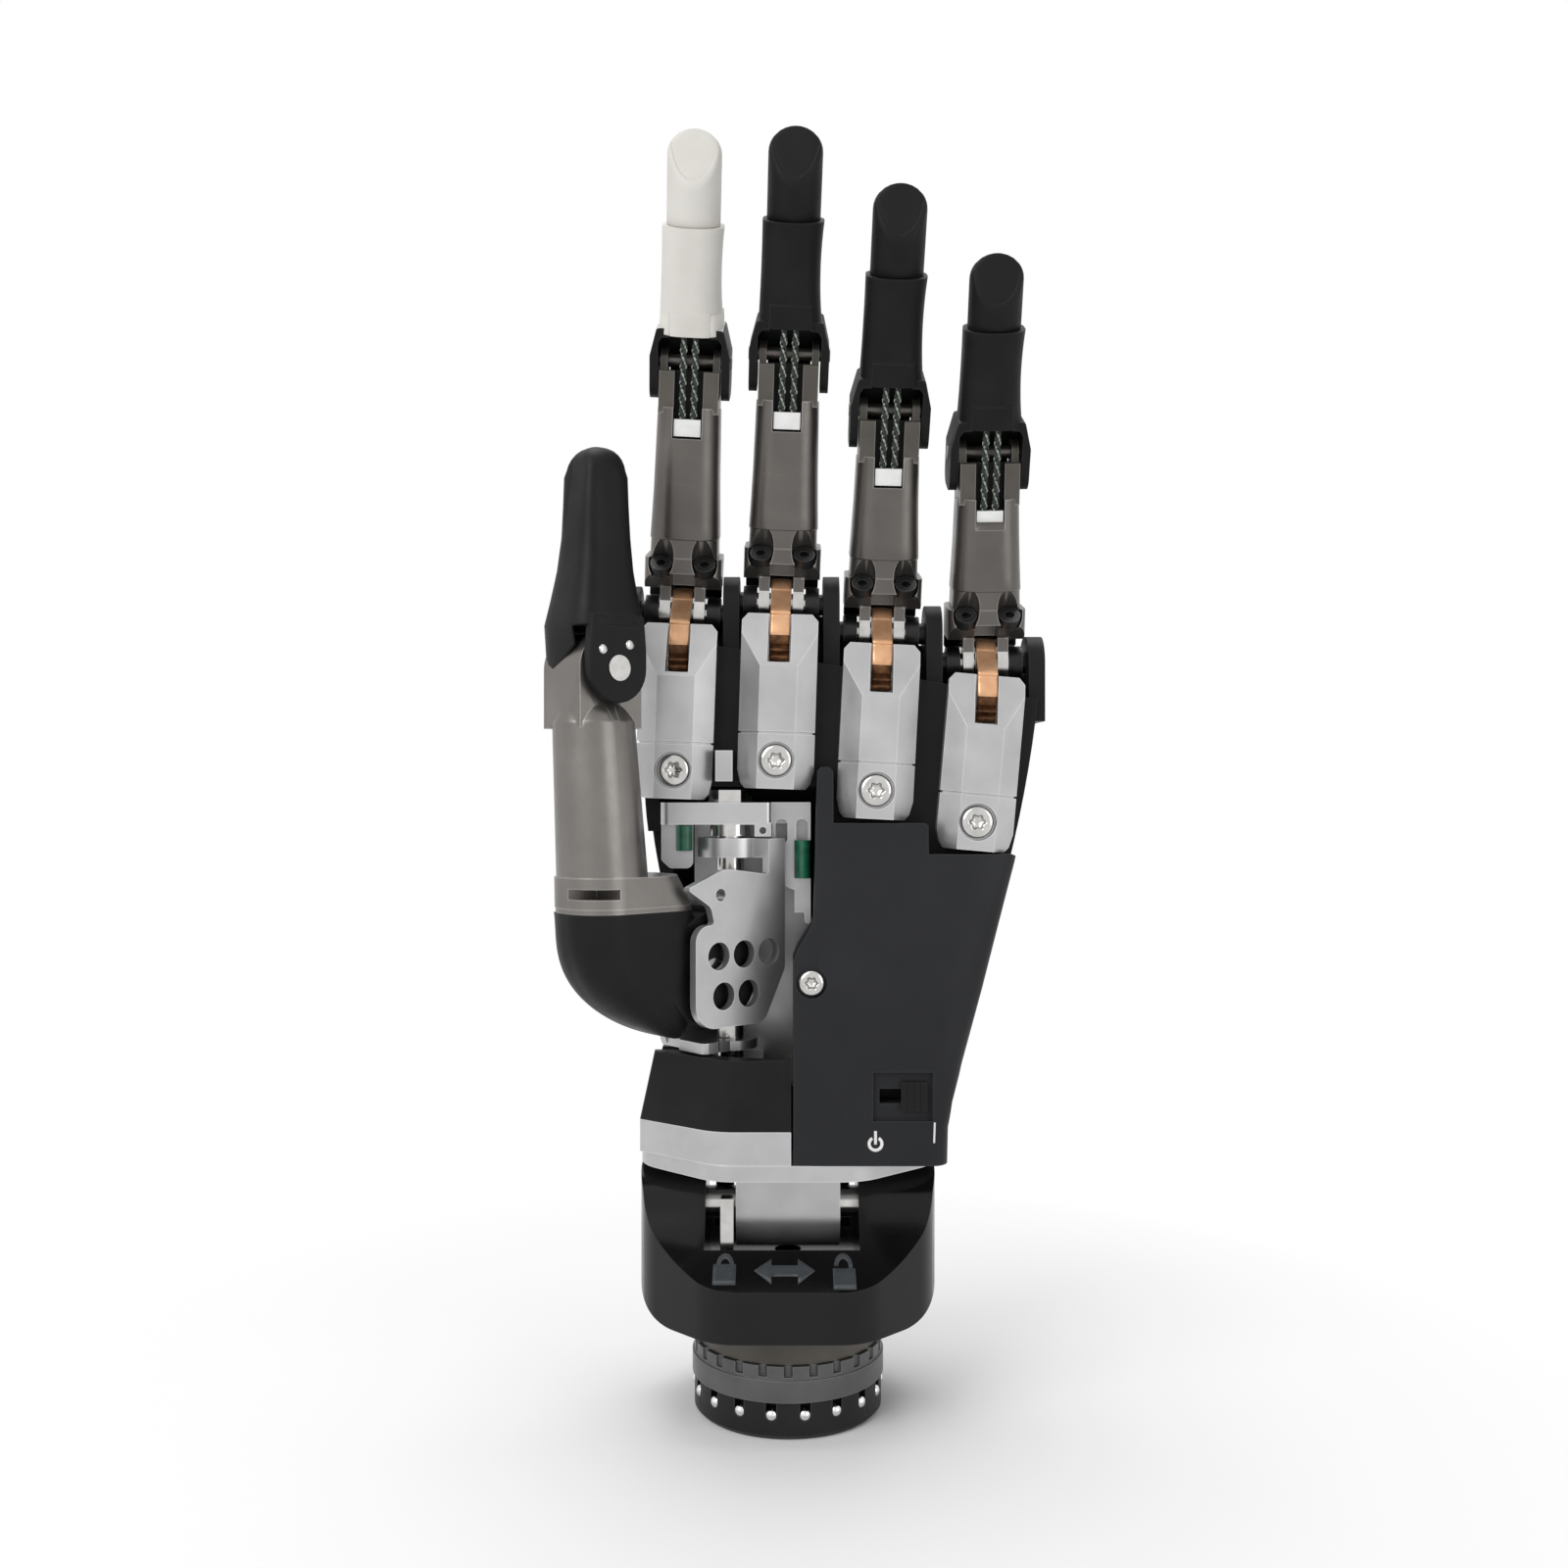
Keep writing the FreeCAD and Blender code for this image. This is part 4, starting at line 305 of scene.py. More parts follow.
for name in nodes:
    dress(name, SOFT_EDGES.get(name, SOFT_EDGE))

# Finishes that change along one piece; drops are measured down from the finger's hinge pin
FORK_TOP = 6.4
GUIDE_DROP = 13.6
TONGUE_DROP = 8.0
CORD_SLOT_DROP = 13.8
CORD_SLOT_HALF = 2.7
CORD_SLOT_FRONT = -4.4
CORD_SLOT_BACK = 2.0
HUB_RADIUS = 5.0
DRUM_HALF = 4.4


def along_finger(finger, part):
    """Turns a point of the hand into the link's own millimetres."""
    place = finger_frame(finger, part).inverted()
    return lambda point: place @ point


def nearest_knuckle(point):
    """Where a point lies from the knuckle that is nearest to it, in that finger's millimetres."""
    spots = [along_finger(finger, "proximal")(point) for finger in FINGERS]
    return min(spots, key=lambda spot: abs(spot.x))


def in_cord_slot(spot, pin_height):
    """Whether a point of a finger's tube lies in the slot for its cords."""
    inside = abs(spot.x) < CORD_SLOT_HALF and CORD_SLOT_FRONT < spot.y < CORD_SLOT_BACK
    return inside and spot.z > pin_height - CORD_SLOT_DROP


index_tip = along_finger("index", "distal")
paint("index_distal_shell", "black_plastic", lambda point: index_tip(point).z < FORK_TOP)
for finger in FINGERS:
    spot = along_finger(finger, "proximal")
    bend = hinge_pin(finger).z
    paint(finger + "_gearmotor", "white_plastic", lambda point: spot(point).z > bend - GUIDE_DROP)
    paint(finger + "_knuckle_block", "steel", lambda point: spot(point).yz.length < HUB_RADIUS)
    paint(finger + "_phalanx_tube", "neck_metal", lambda point: spot(point).z > bend - TONGUE_DROP)
    # The inside of each tube's cord slot is painted black: painted shade in the slot
    paint(finger + "_phalanx_tube", "black_plastic", lambda point: in_cord_slot(spot(point), bend))
    paint(finger + "_pip_pin", "warm_grey_metal")
paint("mcp_axles", "black_steel", lambda point: abs(nearest_knuckle(point).x) > DRUM_HALF)
paint("thumb_tube", "thumb_metal")


# New pieces
class Piece:
    """Gathers the points and faces of one new mesh, with a finish for each face."""

    def __init__(self, name, *materials):
        self.name = name
        self.materials = materials
        self.points = []
        self.faces = []
        self.finishes = []

    def loft(self, rings, finishes=None):
        """A closed form through rings of points, as many in each."""
        base = len(self.points)
        count = len(rings[0])
        last = len(rings) - 1
        for ring in range(last):
            low = base + ring * count
            for step in range(count):
                following = (step + 1) % count
                corners = (low + step, low + following, low + count + following, low + count + step)
                self.faces.append(corners)
                self.finishes.append(finishes[ring] if finishes else 0)
        for end in (base, base + last * count):
            self.faces.append(tuple(range(end, end + count)))
            self.finishes.append(0)
        for ring in rings:
            self.points.extend(ring)
        return self

    def sweep(self, centres, section, across, finishes=None):
        """A closed bar with that section along a line of points, its first direction kept along across."""
        rings = []
        last = len(centres) - 1
        for place, centre in enumerate(centres):
            along = centres[min(place + 1, last)] - centres[max(place - 1, 0)]
            rise = along.cross(across).normalized()
            flat = rise.cross(along).normalized()
            rings.append([centre + flat * wide + rise * high for wide, high in section])
        return self.loft(rings, finishes)

    def turned(self, place, rows, steps):
        """A closed turned form about Z; each row is a height and a radius, or a radius by angle."""
        rings = []
        for high, radius in rows:
            ring = []
            for step in range(steps):
                angle = 2 * math.pi * step / steps
                reach = radius(angle) if callable(radius) else radius
                ring.append(place @ Vector((reach * math.cos(angle), reach * math.sin(angle), high)))
            rings.append(ring)
        return self.loft(rings)

    def slab(self, place, outline, near, far):
        """An outline in X and Z, made solid from one Y to another."""
        return self.loft([[place @ Vector((x, y, z)) for x, z in outline] for y in (near, far)])

    def build(self, slot=None):
        """Makes the mesh and its object, with the normals outward."""
        mesh = bpy.data.meshes.new(self.name)
        mesh.from_pydata(self.points, [], self.faces)
        for material in self.materials:
            mesh.materials.append(MATERIALS[material])
        for polygon, finish in zip(mesh.polygons, self.finishes):
            polygon.material_index = finish
            polygon.use_smooth = True
        form = bmesh.new()
        form.from_mesh(mesh)
        bmesh.ops.recalc_face_normals(form, faces=form.faces)
        form.to_mesh(mesh)
        form.free()
        item = bpy.data.objects.new(self.name, mesh)
        scene.collection.objects.link(item)
        return item


def lofted(name, slot, rings):
    """A new piece of one finish, lofted through rings."""
    return Piece(name, slot).loft(rings).build(slot)


def circle(radius, sides):
    angles = [2 * math.pi * step / sides for step in range(sides)]
    return [(radius * math.cos(angle), radius * math.sin(angle)) for angle in angles]


def smooth_line(points, steps):
    """A smooth line through a few points."""
    ends = [points[0], *points, points[-1]]
    line = []
    for first, start, end, last in zip(ends, ends[1:], ends[2:], ends[3:]):
        handles = start + (end - first) / 6, end - (last - start) / 6
        line += interpolate_bezier(start, *handles, end, steps + 1)[:-1]
    return line + [points[-1]]


def rounded_section(width, depth, corner, steps=6):
    """A rectangle with round corners, as points in X and Y."""
    section = []
    for across, deep, start in ((1, 1, 0), (-1, 1, 90), (-1, -1, 180), (1, -1, 270)):
        for step in range(steps + 1):
            angle = math.radians(start + 90 * step / steps)
            x = across * (width / 2 - corner) + corner * math.cos(angle)
            y = deep * (depth / 2 - corner) + corner * math.sin(angle)
            section.append((x, y))
    return section


def chamfered(half, near, far, wide, deep):
    """A bar's section in X and Y, with chamfers of that width and depth at its back."""
    return [
        (-half, near), (half, near), (half, far - deep),
        (half - wide, far), (wide - half, far), (-half, far - deep),
    ]


def oblong(left, right, low, high):
    return [(left, low), (right, low), (right, high), (left, high)]


def squareness(angle, corner):
    """How much further than a circle a squarish section reaches at an angle."""
    return (abs(math.cos(angle)) ** corner + abs(math.sin(angle)) ** corner) ** (-1 / corner)


def across_of(place):
    """The direction of a frame's X."""
    return (place.to_3x3() @ Vector((1, 0, 0))).normalized()


def level(place, outline, height):
    """An outline in X and Y, laid at one height."""
    return [place @ Vector((x, y, height)) for x, y in outline]


FOOT_BAND = 0.2


def bodies_of(name):
    """The lowest and highest corners of each solid in a node, in metres, with the middle of its foot."""
    form = bmesh.new()
    form.from_mesh(nodes[name].data)
    bmesh.ops.remove_doubles(form, verts=form.verts, dist=WELD_M)
    found = []
    for first in form.verts:
        if first.tag:
            continue
        first.tag = True
        waiting = [first]
        points = []
        while waiting:
            vert = waiting.pop()
            points.append(vert.co.copy())
            for edge in vert.link_edges:
                other = edge.other_vert(vert)
                if not other.tag:
                    other.tag = True
                    waiting.append(other)
        low = Vector(min(point[axis] for point in points) for axis in range(3))
        high = Vector(max(point[axis] for point in points) for axis in range(3))
        feet = [point for point in points if point.z < low.z + FOOT_BAND * MM]
        foot = sum(feet, Vector()) / len(feet)
        found.append((low, high, foot))
    form.free()
    return found


# Cuts, by forms that start well in front of the palm side
TOOL_FRONT = -30.0
SEAT_SIDES = 40


def carve(item, tool, way="DIFFERENCE"):
    """Cuts one new form by another, which is then gone."""
    step = item.modifiers.new("carve", "BOOLEAN")
    step.object = tool
    step.operation = way
    step.solver = "EXACT"
    bpy.context.view_layer.objects.active = item
    bpy.ops.object.modifier_apply(modifier=step.name)
    bpy.data.objects.remove(tool)
    for polygon in item.data.polygons:
        polygon.use_smooth = True


def cut_slot(item, material, place, outline, floor):
    """Cuts an outline in X and Z into a piece, from its front down to a floor."""
    carve(item, Piece("slot_tool", material).slab(place, outline, TOOL_FRONT, floor).build())


def cut_seat(item, material, place, x, z, radius, floor):
    """Sinks a round screw seat into a piece, from its front down to a floor."""
    seat = place @ Matrix.Translation((x, TOOL_FRONT, z)) @ TO_BACK
    rows = [(0, radius), (floor - TOOL_FRONT, radius)]
    carve(item, Piece("seat_tool", material).turned(seat, rows, SEAT_SIDES).build())


# Silver covers with a slanted facet about the strip's slot and a seam above the screw
DECK = 7.0
COVER_TOP = -2.8
COVER_LENGTH = 32.2
COVER_FACE = 13.0
COVER_BROW = 10.2
COVER_HALF = 7.0
COVER_FACET_HALF = 3.4
COVER_FACET_LENGTH = 9.9
COVER_FACET_DEPTH = 4.5
COVER_SLOT = oblong(-2.1, 2.1, COVER_TOP - 9.2, COVER_TOP + 4.0)
COVER_SLOT_FLOOR = -DECK - 0.8
COVER_SEAM_UP = 10.0
COVER_SEAM_DEPTH = 0.45
COVER_SEAT_UP = 5.2
COVER_SEAT_RADIUS = 3.4
COVER_SEAT_FLOOR = -COVER_FACE + 1.5
SCREW_FROM_KNUCKLE = Vector((-1.0, 0.0, -30.0)) * MM
# Height above the cover's foot, and how much narrower each side is there
COVER_FOOT_ROWS = ((0.0, 1.4), (1.0, 0.6), (3.4, 0.0))
# Height above the seam's lower edge, and how deep the seam is there
COVER_SEAM_ROWS = ((0.0, 0.0), (0.04, COVER_SEAM_DEPTH), (0.36, COVER_SEAM_DEPTH), (0.4, 0.0))
# Drop below the cover's top, and how much narrower each side is there
COVER_TOP_ROWS = ((COVER_FACET_LENGTH, 0.0), (6.8, 0.0), (3.74, 0.0), (1.3, 0.0), (0.0, 1.1))


def cover_frame(knuckle, low):
    """A frame about a knuckle, with Z from a lower point to the knuckle and Y straight back."""
    up = Vector((knuckle.x - low.x, 0, knuckle.z - low.z)).normalized()
    across = Vector((up.z, 0, -up.x))
    turn = Matrix((across, Vector((0, 1, 0)), up)).transposed().to_4x4()
    return Matrix.Translation(knuckle) @ turn @ PLAIN


def cover_ring(place, height, half, inset=0.0):
    """A cover's section at a height, with its front cut back by the slanted facet."""
    share = min((COVER_TOP - height) / COVER_FACET_LENGTH, 1.0)
    front = -COVER_FACE + COVER_FACET_DEPTH * (1 - share)
    brow = max(-COVER_BROW, front)
    spread_out = min((front + COVER_FACE) / (COVER_FACE - COVER_BROW), 0.99)
    facet = COVER_FACET_HALF + (half - COVER_FACET_HALF) * spread_out - inset / 3
    side = half - inset
    outline = [
        (-side, -DECK), (-side, brow + inset / 2), (-facet, front + inset), (facet, front + inset),
        (side, brow + inset / 2), (side, -DECK),
    ]
    return level(place, outline, height)


screw_spots = [(low + high) / 2 for low, high, _ in bodies_of("cover_screws")]
for finger in FINGERS:
    knuckle = knuckle_of(finger)
    screw = min(screw_spots, key=lambda spot: (spot - knuckle - SCREW_FROM_KNUCKLE).length)
    place = cover_frame(knuckle, screw)
    bottom = COVER_TOP - COVER_LENGTH
    seam = bottom + COVER_SEAM_UP
    rings = [cover_ring(place, bottom + up, COVER_HALF - slim) for up, slim in COVER_FOOT_ROWS]
    rings += [cover_ring(place, seam + up, COVER_HALF, sunk) for up, sunk in COVER_SEAM_ROWS]
    rings += [cover_ring(place, COVER_TOP - drop, COVER_HALF - slim) for drop, slim in COVER_TOP_ROWS]
    item = lofted(finger + "_cover", "silver_metal", rings)
    cut_slot(item, "silver_metal", place, COVER_SLOT, COVER_SLOT_FLOOR)
    seat_up = bottom + COVER_SEAT_UP
    cut_seat(item, "silver_metal", place, 0, seat_up, COVER_SEAT_RADIUS, COVER_SEAT_FLOOR)
    soften(item, 0.2, limit=14)
    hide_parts(finger + "_metacarpal_cover")
    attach(item, "palm")

# Rubber fingertips: a round end cut by a slanted oval pad
TIP_RADIUS = 4.7
TIP_DOME = 4.2
PAD_BACK = 0.1
PAD_SLOPE = 1.8
# The top of each finger's sleeve and of its fingertip, above the hinge pin
TIP_SIZES = {
    "index": (23.5, 39.0), "middle": (23.2, 38.2), "ring": (23.8, 38.8), "little": (22.2, 34.7),
}
TIP_FOOT = 0.2
# Share of the radius and height over the sleeve's top, from the root inside the sleeve to the foot
TIP_ROOT_ROWS = ((0.8, -2.5), (0.8, 0.03), (0.97, 0.03), (1.0, TIP_FOOT))
TIP_CLIMBS = (0.25, 0.5, 0.75, 0.95)
PAD_RIM = 0.8
# Share of the radius, and how far the pad is sunk there: a round rim, a groove and the face
PAD_ROWS = (
    (1.0, PAD_RIM), (0.985, 0.4), (0.955, 0.12), (0.92, 0.0), (0.89, 0.0), (0.875, 0.16), (0.86, 0.2),
    (0.84, 0.1), (0.8, 0.06), (0.6, 0.05), (0.4, 0.05), (0.2, 0.05), (0.04, 0.05),
)
TIP_STEPS = 64
TIP_ANGLES = [2 * math.pi * step / TIP_STEPS for step in range(TIP_STEPS)]


def tip_heights(top, share, sunk):
    """How high the fingertip is around a share of its radius: its dome, or the pad where that is lower."""
    dome = top - TIP_DOME * (1 - math.sqrt(max(1 - share * share, 0.0)))
    depths = [TIP_RADIUS * share * math.sin(angle) for angle in TIP_ANGLES]
    return [min(dome, top - PAD_SLOPE * (PAD_BACK - deep) - sunk) for deep in depths]


def tip_ring(place, share, heights):
    """A ring of the fingertip at a share of its radius, with a height for each angle."""
    reach = TIP_RADIUS * share
    return [
        place @ Vector((reach * math.cos(angle), reach * math.sin(angle), height))
        for angle, height in zip(TIP_ANGLES, heights)
    ]


for finger, (base, top) in TIP_SIZES.items():
    place = finger_frame(finger, "distal")
    rings = [tip_ring(place, share, [base + up] * TIP_STEPS) for share, up in TIP_ROOT_ROWS]
    foot = base + TIP_FOOT
    rim = tip_heights(top, 1.0, PAD_RIM)
    for climb in TIP_CLIMBS:
        rings.append(tip_ring(place, 1.0, [foot + (height - foot) * climb for height in rim]))
    for share, sunk in PAD_ROWS:
        rings.append(tip_ring(place, share, tip_heights(top, share, sunk)))
    slot_name = slot_of[finger + "_fingertip"]
    item = lofted(finger + "_tip", slot_name, rings)
    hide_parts(finger + "_fingertip")
    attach(item, finger + "_distal")

# Webs that close the back of each finger's fork: height over the pin, half width, front and back
WEB_ROWS = (
    (-1.2, 5.5, 3.3, 4.0), (-0.8, 5.75, 3.0, 4.3), (4.6, 5.75, 2.9, 4.35),
    (5.6, 5.6, 2.7, 4.6), (6.4, 5.0, 2.7, 4.6),
)
WEB_CHAMFER = (1.0, 0.5)
for finger in FINGERS:
    place = finger_frame(finger, "distal")
    rings = [level(place, chamfered(*sides, *WEB_CHAMFER), height) for height, *sides in WEB_ROWS]
    item = lofted(finger + "_fork_web", "black_plastic", rings)
    soften(item, 0.2)
    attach(item, finger + "_distal")

# Lips that close the sleeve's front over the cords, and the gap behind the hinge pin
LIP_HALF = 3.62
LIP_THICK = 0.6
LIP_STEPS = 16
# Height over the pin and the sleeve's front there
LIP_ROWS = ((5.3, -5.69), (7.0, -5.66), (9.52, -5.62))
SLEEVE_FLAT = 1.55
SLEEVE_CORNER = 4.2
HINGE_LIP_HALF = 3.95
# Height over the pin, front and back
HINGE_LIP_ROWS = ((-2.6, 1.7, 2.6), (-0.8, 1.8, 2.6), (-0.5, 2.0, 2.4))


def sleeve_front(x):
    """How far the sleeve's front falls back at a place across it, where its corners turn away."""
    beyond = max(abs(x) - SLEEVE_FLAT, 0.0)
    return SLEEVE_CORNER - math.sqrt(SLEEVE_CORNER ** 2 - beyond ** 2)


lip_places = [LIP_HALF * (2 * step / LIP_STEPS - 1) for step in range(LIP_STEPS + 1)]
for finger in FINGERS:
    place = finger_frame(finger, "distal")
    rings = []
    for height, front in LIP_ROWS:
        outer = [(x, front + sleeve_front(x)) for x in lip_places]
        inner = [(x, y + LIP_THICK) for x, y in outer]
        rings.append(level(place, outer + inner[::-1], height))
    slot_name = slot_of[finger + "_distal_shell"]
    item = lofted(finger + "_sleeve_lip", slot_name, rings)
    soften(item, 0.15, limit=50)
    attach(item, finger + "_distal")
    place = finger_frame(finger, "proximal")
    pin = hinge_pin(finger)
    rings = [
        level(place, oblong(-HINGE_LIP_HALF, HINGE_LIP_HALF, near, far), pin.z + height)
        for height, near, far in HINGE_LIP_ROWS
    ]
    item = lofted(finger + "_hinge_lip", "black_steel", rings)
    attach(item, finger + "_proximal")

# A wall behind the knuckle axles, at places across the palm and about the knuckles' line
WALL_PLACES = (-28.5, -24.0, -19.8, -10.5, -1.3, 8.0, 17.5, 27.0, 36.9, 42.5, 45.0)
WALL_TOP = 0.5
WALL_FOOT = -16.0
WALL_FRONT = 5.0
WALL_BACK = 6.2
WALL_EDGE = 0.3
# Skirts on the fingers that clear the wall in every pose: height over the knuckle, half width, front, back
SKIRT_ROWS = ((2.2, 6.6, 5.3, 5.8), (2.7, 6.9, 4.95, 6.1), (5.0, 6.9, 4.95, 6.1), (6.2, 6.9, 4.4, 6.1))
SKIRT_CHAMFER = (0.6, 0.4)
knuckles = [knuckle_of(finger) / MM for finger in FINGERS]


def knuckle_line(x):
    """The height of the line through the knuckles at a place across the palm."""
    for first, second in zip(knuckles, knuckles[1:]):
        if x <= second.x:
            break
    return first.z + (second.z - first.z) * (x - first.x) / (second.x - first.x)


rings = []
for x in WALL_PLACES:
    top = knuckle_line(x) + WALL_TOP
    foot = knuckle_line(x) + WALL_FOOT
    outline = [
        (WALL_FRONT, foot), (WALL_FRONT, top - WALL_EDGE), (WALL_FRONT + WALL_EDGE, top),
        (WALL_BACK - WALL_EDGE, top), (WALL_BACK, top - WALL_EDGE), (WALL_BACK, foot),
    ]
    rings.append([PLAIN @ Vector((x, y, z)) for y, z in outline])
item = lofted("knuckle_wall", "black_plastic", rings)
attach(item, "palm")
for finger in FINGERS:
    place = finger_frame(finger, "proximal")
    rings = [level(place, chamfered(*sides, *SKIRT_CHAMFER), height) for height, *sides in SKIRT_ROWS]
    # The skirts' black is a painted shade for the dark gap between each finger's flange and the hub flats
    item = lofted(finger + "_knuckle_skirt", "black_steel", rings)
    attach(item, finger + "_proximal")

# A flared foot on each finger's tube, above its flange screws
TUBE_FOOT = 11.0
TUBE_DROP = 8.2
TUBE_WIDTH = 12.6
TUBE_WIDTH_TAPER = 1.2
TUBE_DEPTH = 13.0
TUBE_DEPTH_TAPER = 1.4
TUBE_CORNER = 4.2
# Height over the knuckle, and how much wider than the tube the flare is there
FLARE_ROWS = (
    (14.4, -0.4), (14.4, 0.25), (14.7, 0.36), (17.0, 0.26), (20.0, 0.14), (24.0, 0.02), (27.0, -0.1),
)
for finger in FINGERS:
    place = finger_frame(finger, "proximal")
    tube_length = hinge_pin(finger).z - TUBE_DROP - TUBE_FOOT
    rings = []
    for height, proud in FLARE_ROWS:
        share = (height - TUBE_FOOT) / tube_length
        width = TUBE_WIDTH - TUBE_WIDTH_TAPER * share + proud
        depth = TUBE_DEPTH - TUBE_DEPTH_TAPER * share + proud
        rings.append(level(place, rounded_section(width, depth, TUBE_CORNER + proud / 2), height))
    item = lofted(finger + "_flare", "warm_grey_metal", rings)
    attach(item, finger + "_proximal")

# Palm cover with a soft face that turns away to its right flank
PALM_FOOT = 49.55
PALM_WALL = 2.4
PALM_LEFT = -4.0
PALM_FACE_LEFT = 6.0
PALM_LEFT_DROP = 0.4
PALM_BASE = -DECK + 1
PALM_OUTLINE = (
    (0.9, PALM_FOOT), (28.3, PALM_FOOT), (28.4, 55.0), (29.1, 60.5), (41.4, 102.6), (41.6, 103.8),
    (40.6, 104.2), (25.4, 104.2), (25.4, 109.3), (24.9, 109.8), (8.2, 109.8), (8.2, 119.2), (7.5, 120.0),
    (6.0, 120.0), (5.3, 119.3), (4.6, 92.6), (3.9, 91.0), (1.7, 87.4), (0.9, 85.4),
)
# The room inside the cover, which is open below
ROOM_OUTLINE = (
    (4.1, 46.0), (25.9, 46.0), (26.0, 55.0), (26.7, 60.5), (39.0, 102.6), (39.0, 101.8), (9.0, 101.8),
    (9.0, 94.0), (8.9, 90.0), (8.9, 74.0), (4.1, 70.0),
)
ROOM_FLOOR = -DECK + 0.9
# Height, face depth, how wide the turned flank is, how far it drops, and where the cover ends at its right
PALM_LEVELS = (
    (47.0, 20.1, 3.0, 3.4, 28.3), (56.0, 20.3, 3.0, 3.4, 28.5), (67.0, 20.45, 5.5, 4.2, 31.0),
    (80.0, 20.0, 9.0, 5.2, 34.8), (92.0, 17.3, 11.0, 5.2, 38.3), (106.0, 13.2, 12.0, 4.0, 42.4),
    (122.0, 11.2, 12.0, 3.0, 47.0),
)
FLANK_STEPS = 8
SWITCH_RECESS = oblong(14.9, 25.5, 57.5, 66.1)
SWITCH_RECESS_FLOOR = -19.5
SWITCH_SLOT = oblong(16.1, 24.3, 60.5, 63.1)
SWITCH_SLOT_FLOOR = -14.0
PALM_SEAT = (4.1, 81.8)
PALM_SEAT_RADIUS = 2.75
PALM_SEAT_FLOOR = -19.0


def palm_ring(height, face, flank, drop, right, inset=0.0):
    """The cover's section at a height, from its straight left edge over the face to the flank."""
    face -= inset
    right -= inset
    outline = [(PALM_LEFT, PALM_BASE), (PALM_LEFT, PALM_LEFT_DROP - face)]
    outline += [(PALM_FACE_LEFT, -face), (right - flank, -face)]
    for step in range(1, FLANK_STEPS + 1):
        turn = math.pi / 2 * step / FLANK_STEPS
        outline.append((right - flank + flank * math.sin(turn), -face + drop * (1 - math.cos(turn))))
    outline.append((right, PALM_BASE))
    return level(PLAIN, outline, height)


def palm_form(name, inset=0.0):
    """The cover's soft face as a solid form to cut with, set in by that much."""
    rings = [palm_ring(*row, inset) for row in PALM_LEVELS]
    return Piece(name, "charcoal_plastic").loft(rings).build()


item = Piece("palm_shell", "charcoal_plastic")
item = item.slab(PLAIN, PALM_OUTLINE, TOOL_FRONT, -DECK).build("charcoal_plastic")
carve(item, palm_form("palm_tool"), "INTERSECT")
room = Piece("room_tool", "charcoal_plastic").slab(PLAIN, ROOM_OUTLINE, TOOL_FRONT, ROOM_FLOOR).build()
carve(room, palm_form("room_form", PALM_WALL), "INTERSECT")
carve(item, room)
cut_slot(item, "charcoal_plastic", PLAIN, SWITCH_RECESS, SWITCH_RECESS_FLOOR)
cut_slot(item, "charcoal_plastic", PLAIN, SWITCH_SLOT, SWITCH_SLOT_FLOOR)
cut_seat(item, "charcoal_plastic", PLAIN, *PALM_SEAT, PALM_SEAT_RADIUS, PALM_SEAT_FLOOR)
soften(item, 0.35, limit=30)
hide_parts("palm_cover")
palm_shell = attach(item, "palm")

# A pale band around the foot of the index finger's sleeve, open at the front
BAND_OPEN = 2.6
BAND_INSIDE = 0.93
BAND_CORNER = 4.24
# Height over the pin, width and depth
BAND_ROWS = ((5.4, 11.58, 11.48), (5.6, 11.62, 11.52), (9.2, 11.24, 11.2))
place = finger_frame("index", "distal")
rings = []
for height, width, depth in BAND_ROWS:
    around = sorted(rounded_section(width, depth, BAND_CORNER), key=lambda point: math.atan2(*point))
    outer = [point for point in around if abs(math.atan2(*point)) < BAND_OPEN]
    inner = [(x * BAND_INSIDE, y * BAND_INSIDE) for x, y in outer]
    rings.append(level(place, outer + inner[::-1], height))
item = lofted("index_sleeve_band", "white_rubber", rings)
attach(item, "index_distal")

# Round walls about the wrist's hinge that close the slot behind, on either side of the lug
WRIST_PIVOT = 37.95
SLOT_WALL_RADII = (7.3, 8.3)
SLOT_WALL_SIDES = ((-13.9, -10.4), (10.0, 11.9))
SLOT_WALL_START = -50
SLOT_WALL_SWEEP = 140
SLOT_WALL_STEPS = 16
inner, outer = [], []
for step in range(SLOT_WALL_STEPS + 1):
    angle = math.radians(SLOT_WALL_START + SLOT_WALL_SWEEP * step / SLOT_WALL_STEPS)
    for line, radius in zip((inner, outer), SLOT_WALL_RADII):
        line.append((radius * math.cos(angle), WRIST_PIVOT + radius * math.sin(angle)))
slot_walls = Piece("wrist_slot_walls", "black_plastic")
for sides in SLOT_WALL_SIDES:
    slot_walls.loft([[PLAIN @ Vector((x, y, z)) for y, z in outer + inner[::-1]] for x in sides])
item = slot_walls.build("black_plastic")
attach(item, "wrist")

# Thumb tip: a tapered shell with a rounded end, fork arms about the hinge and a nail face
THUMB_PIN = (30.2, 0, 136.5)
THUMB_TOP = 38.3
THUMB_END = 33.0
THUMB_END_SIDE = 9.3
THUMB_END_STEPS = 7
# The last step stops a little short of the end's pole
THUMB_END_TURN = math.pi / 2 / 7.4
THUMB_END_SHIFT = -0.4
THUMB_END_FULLNESS = 0.8
THUMB_END_CORNER = 3.0
THUMB_CORNER = 4.0
THUMB_STEPS = 48
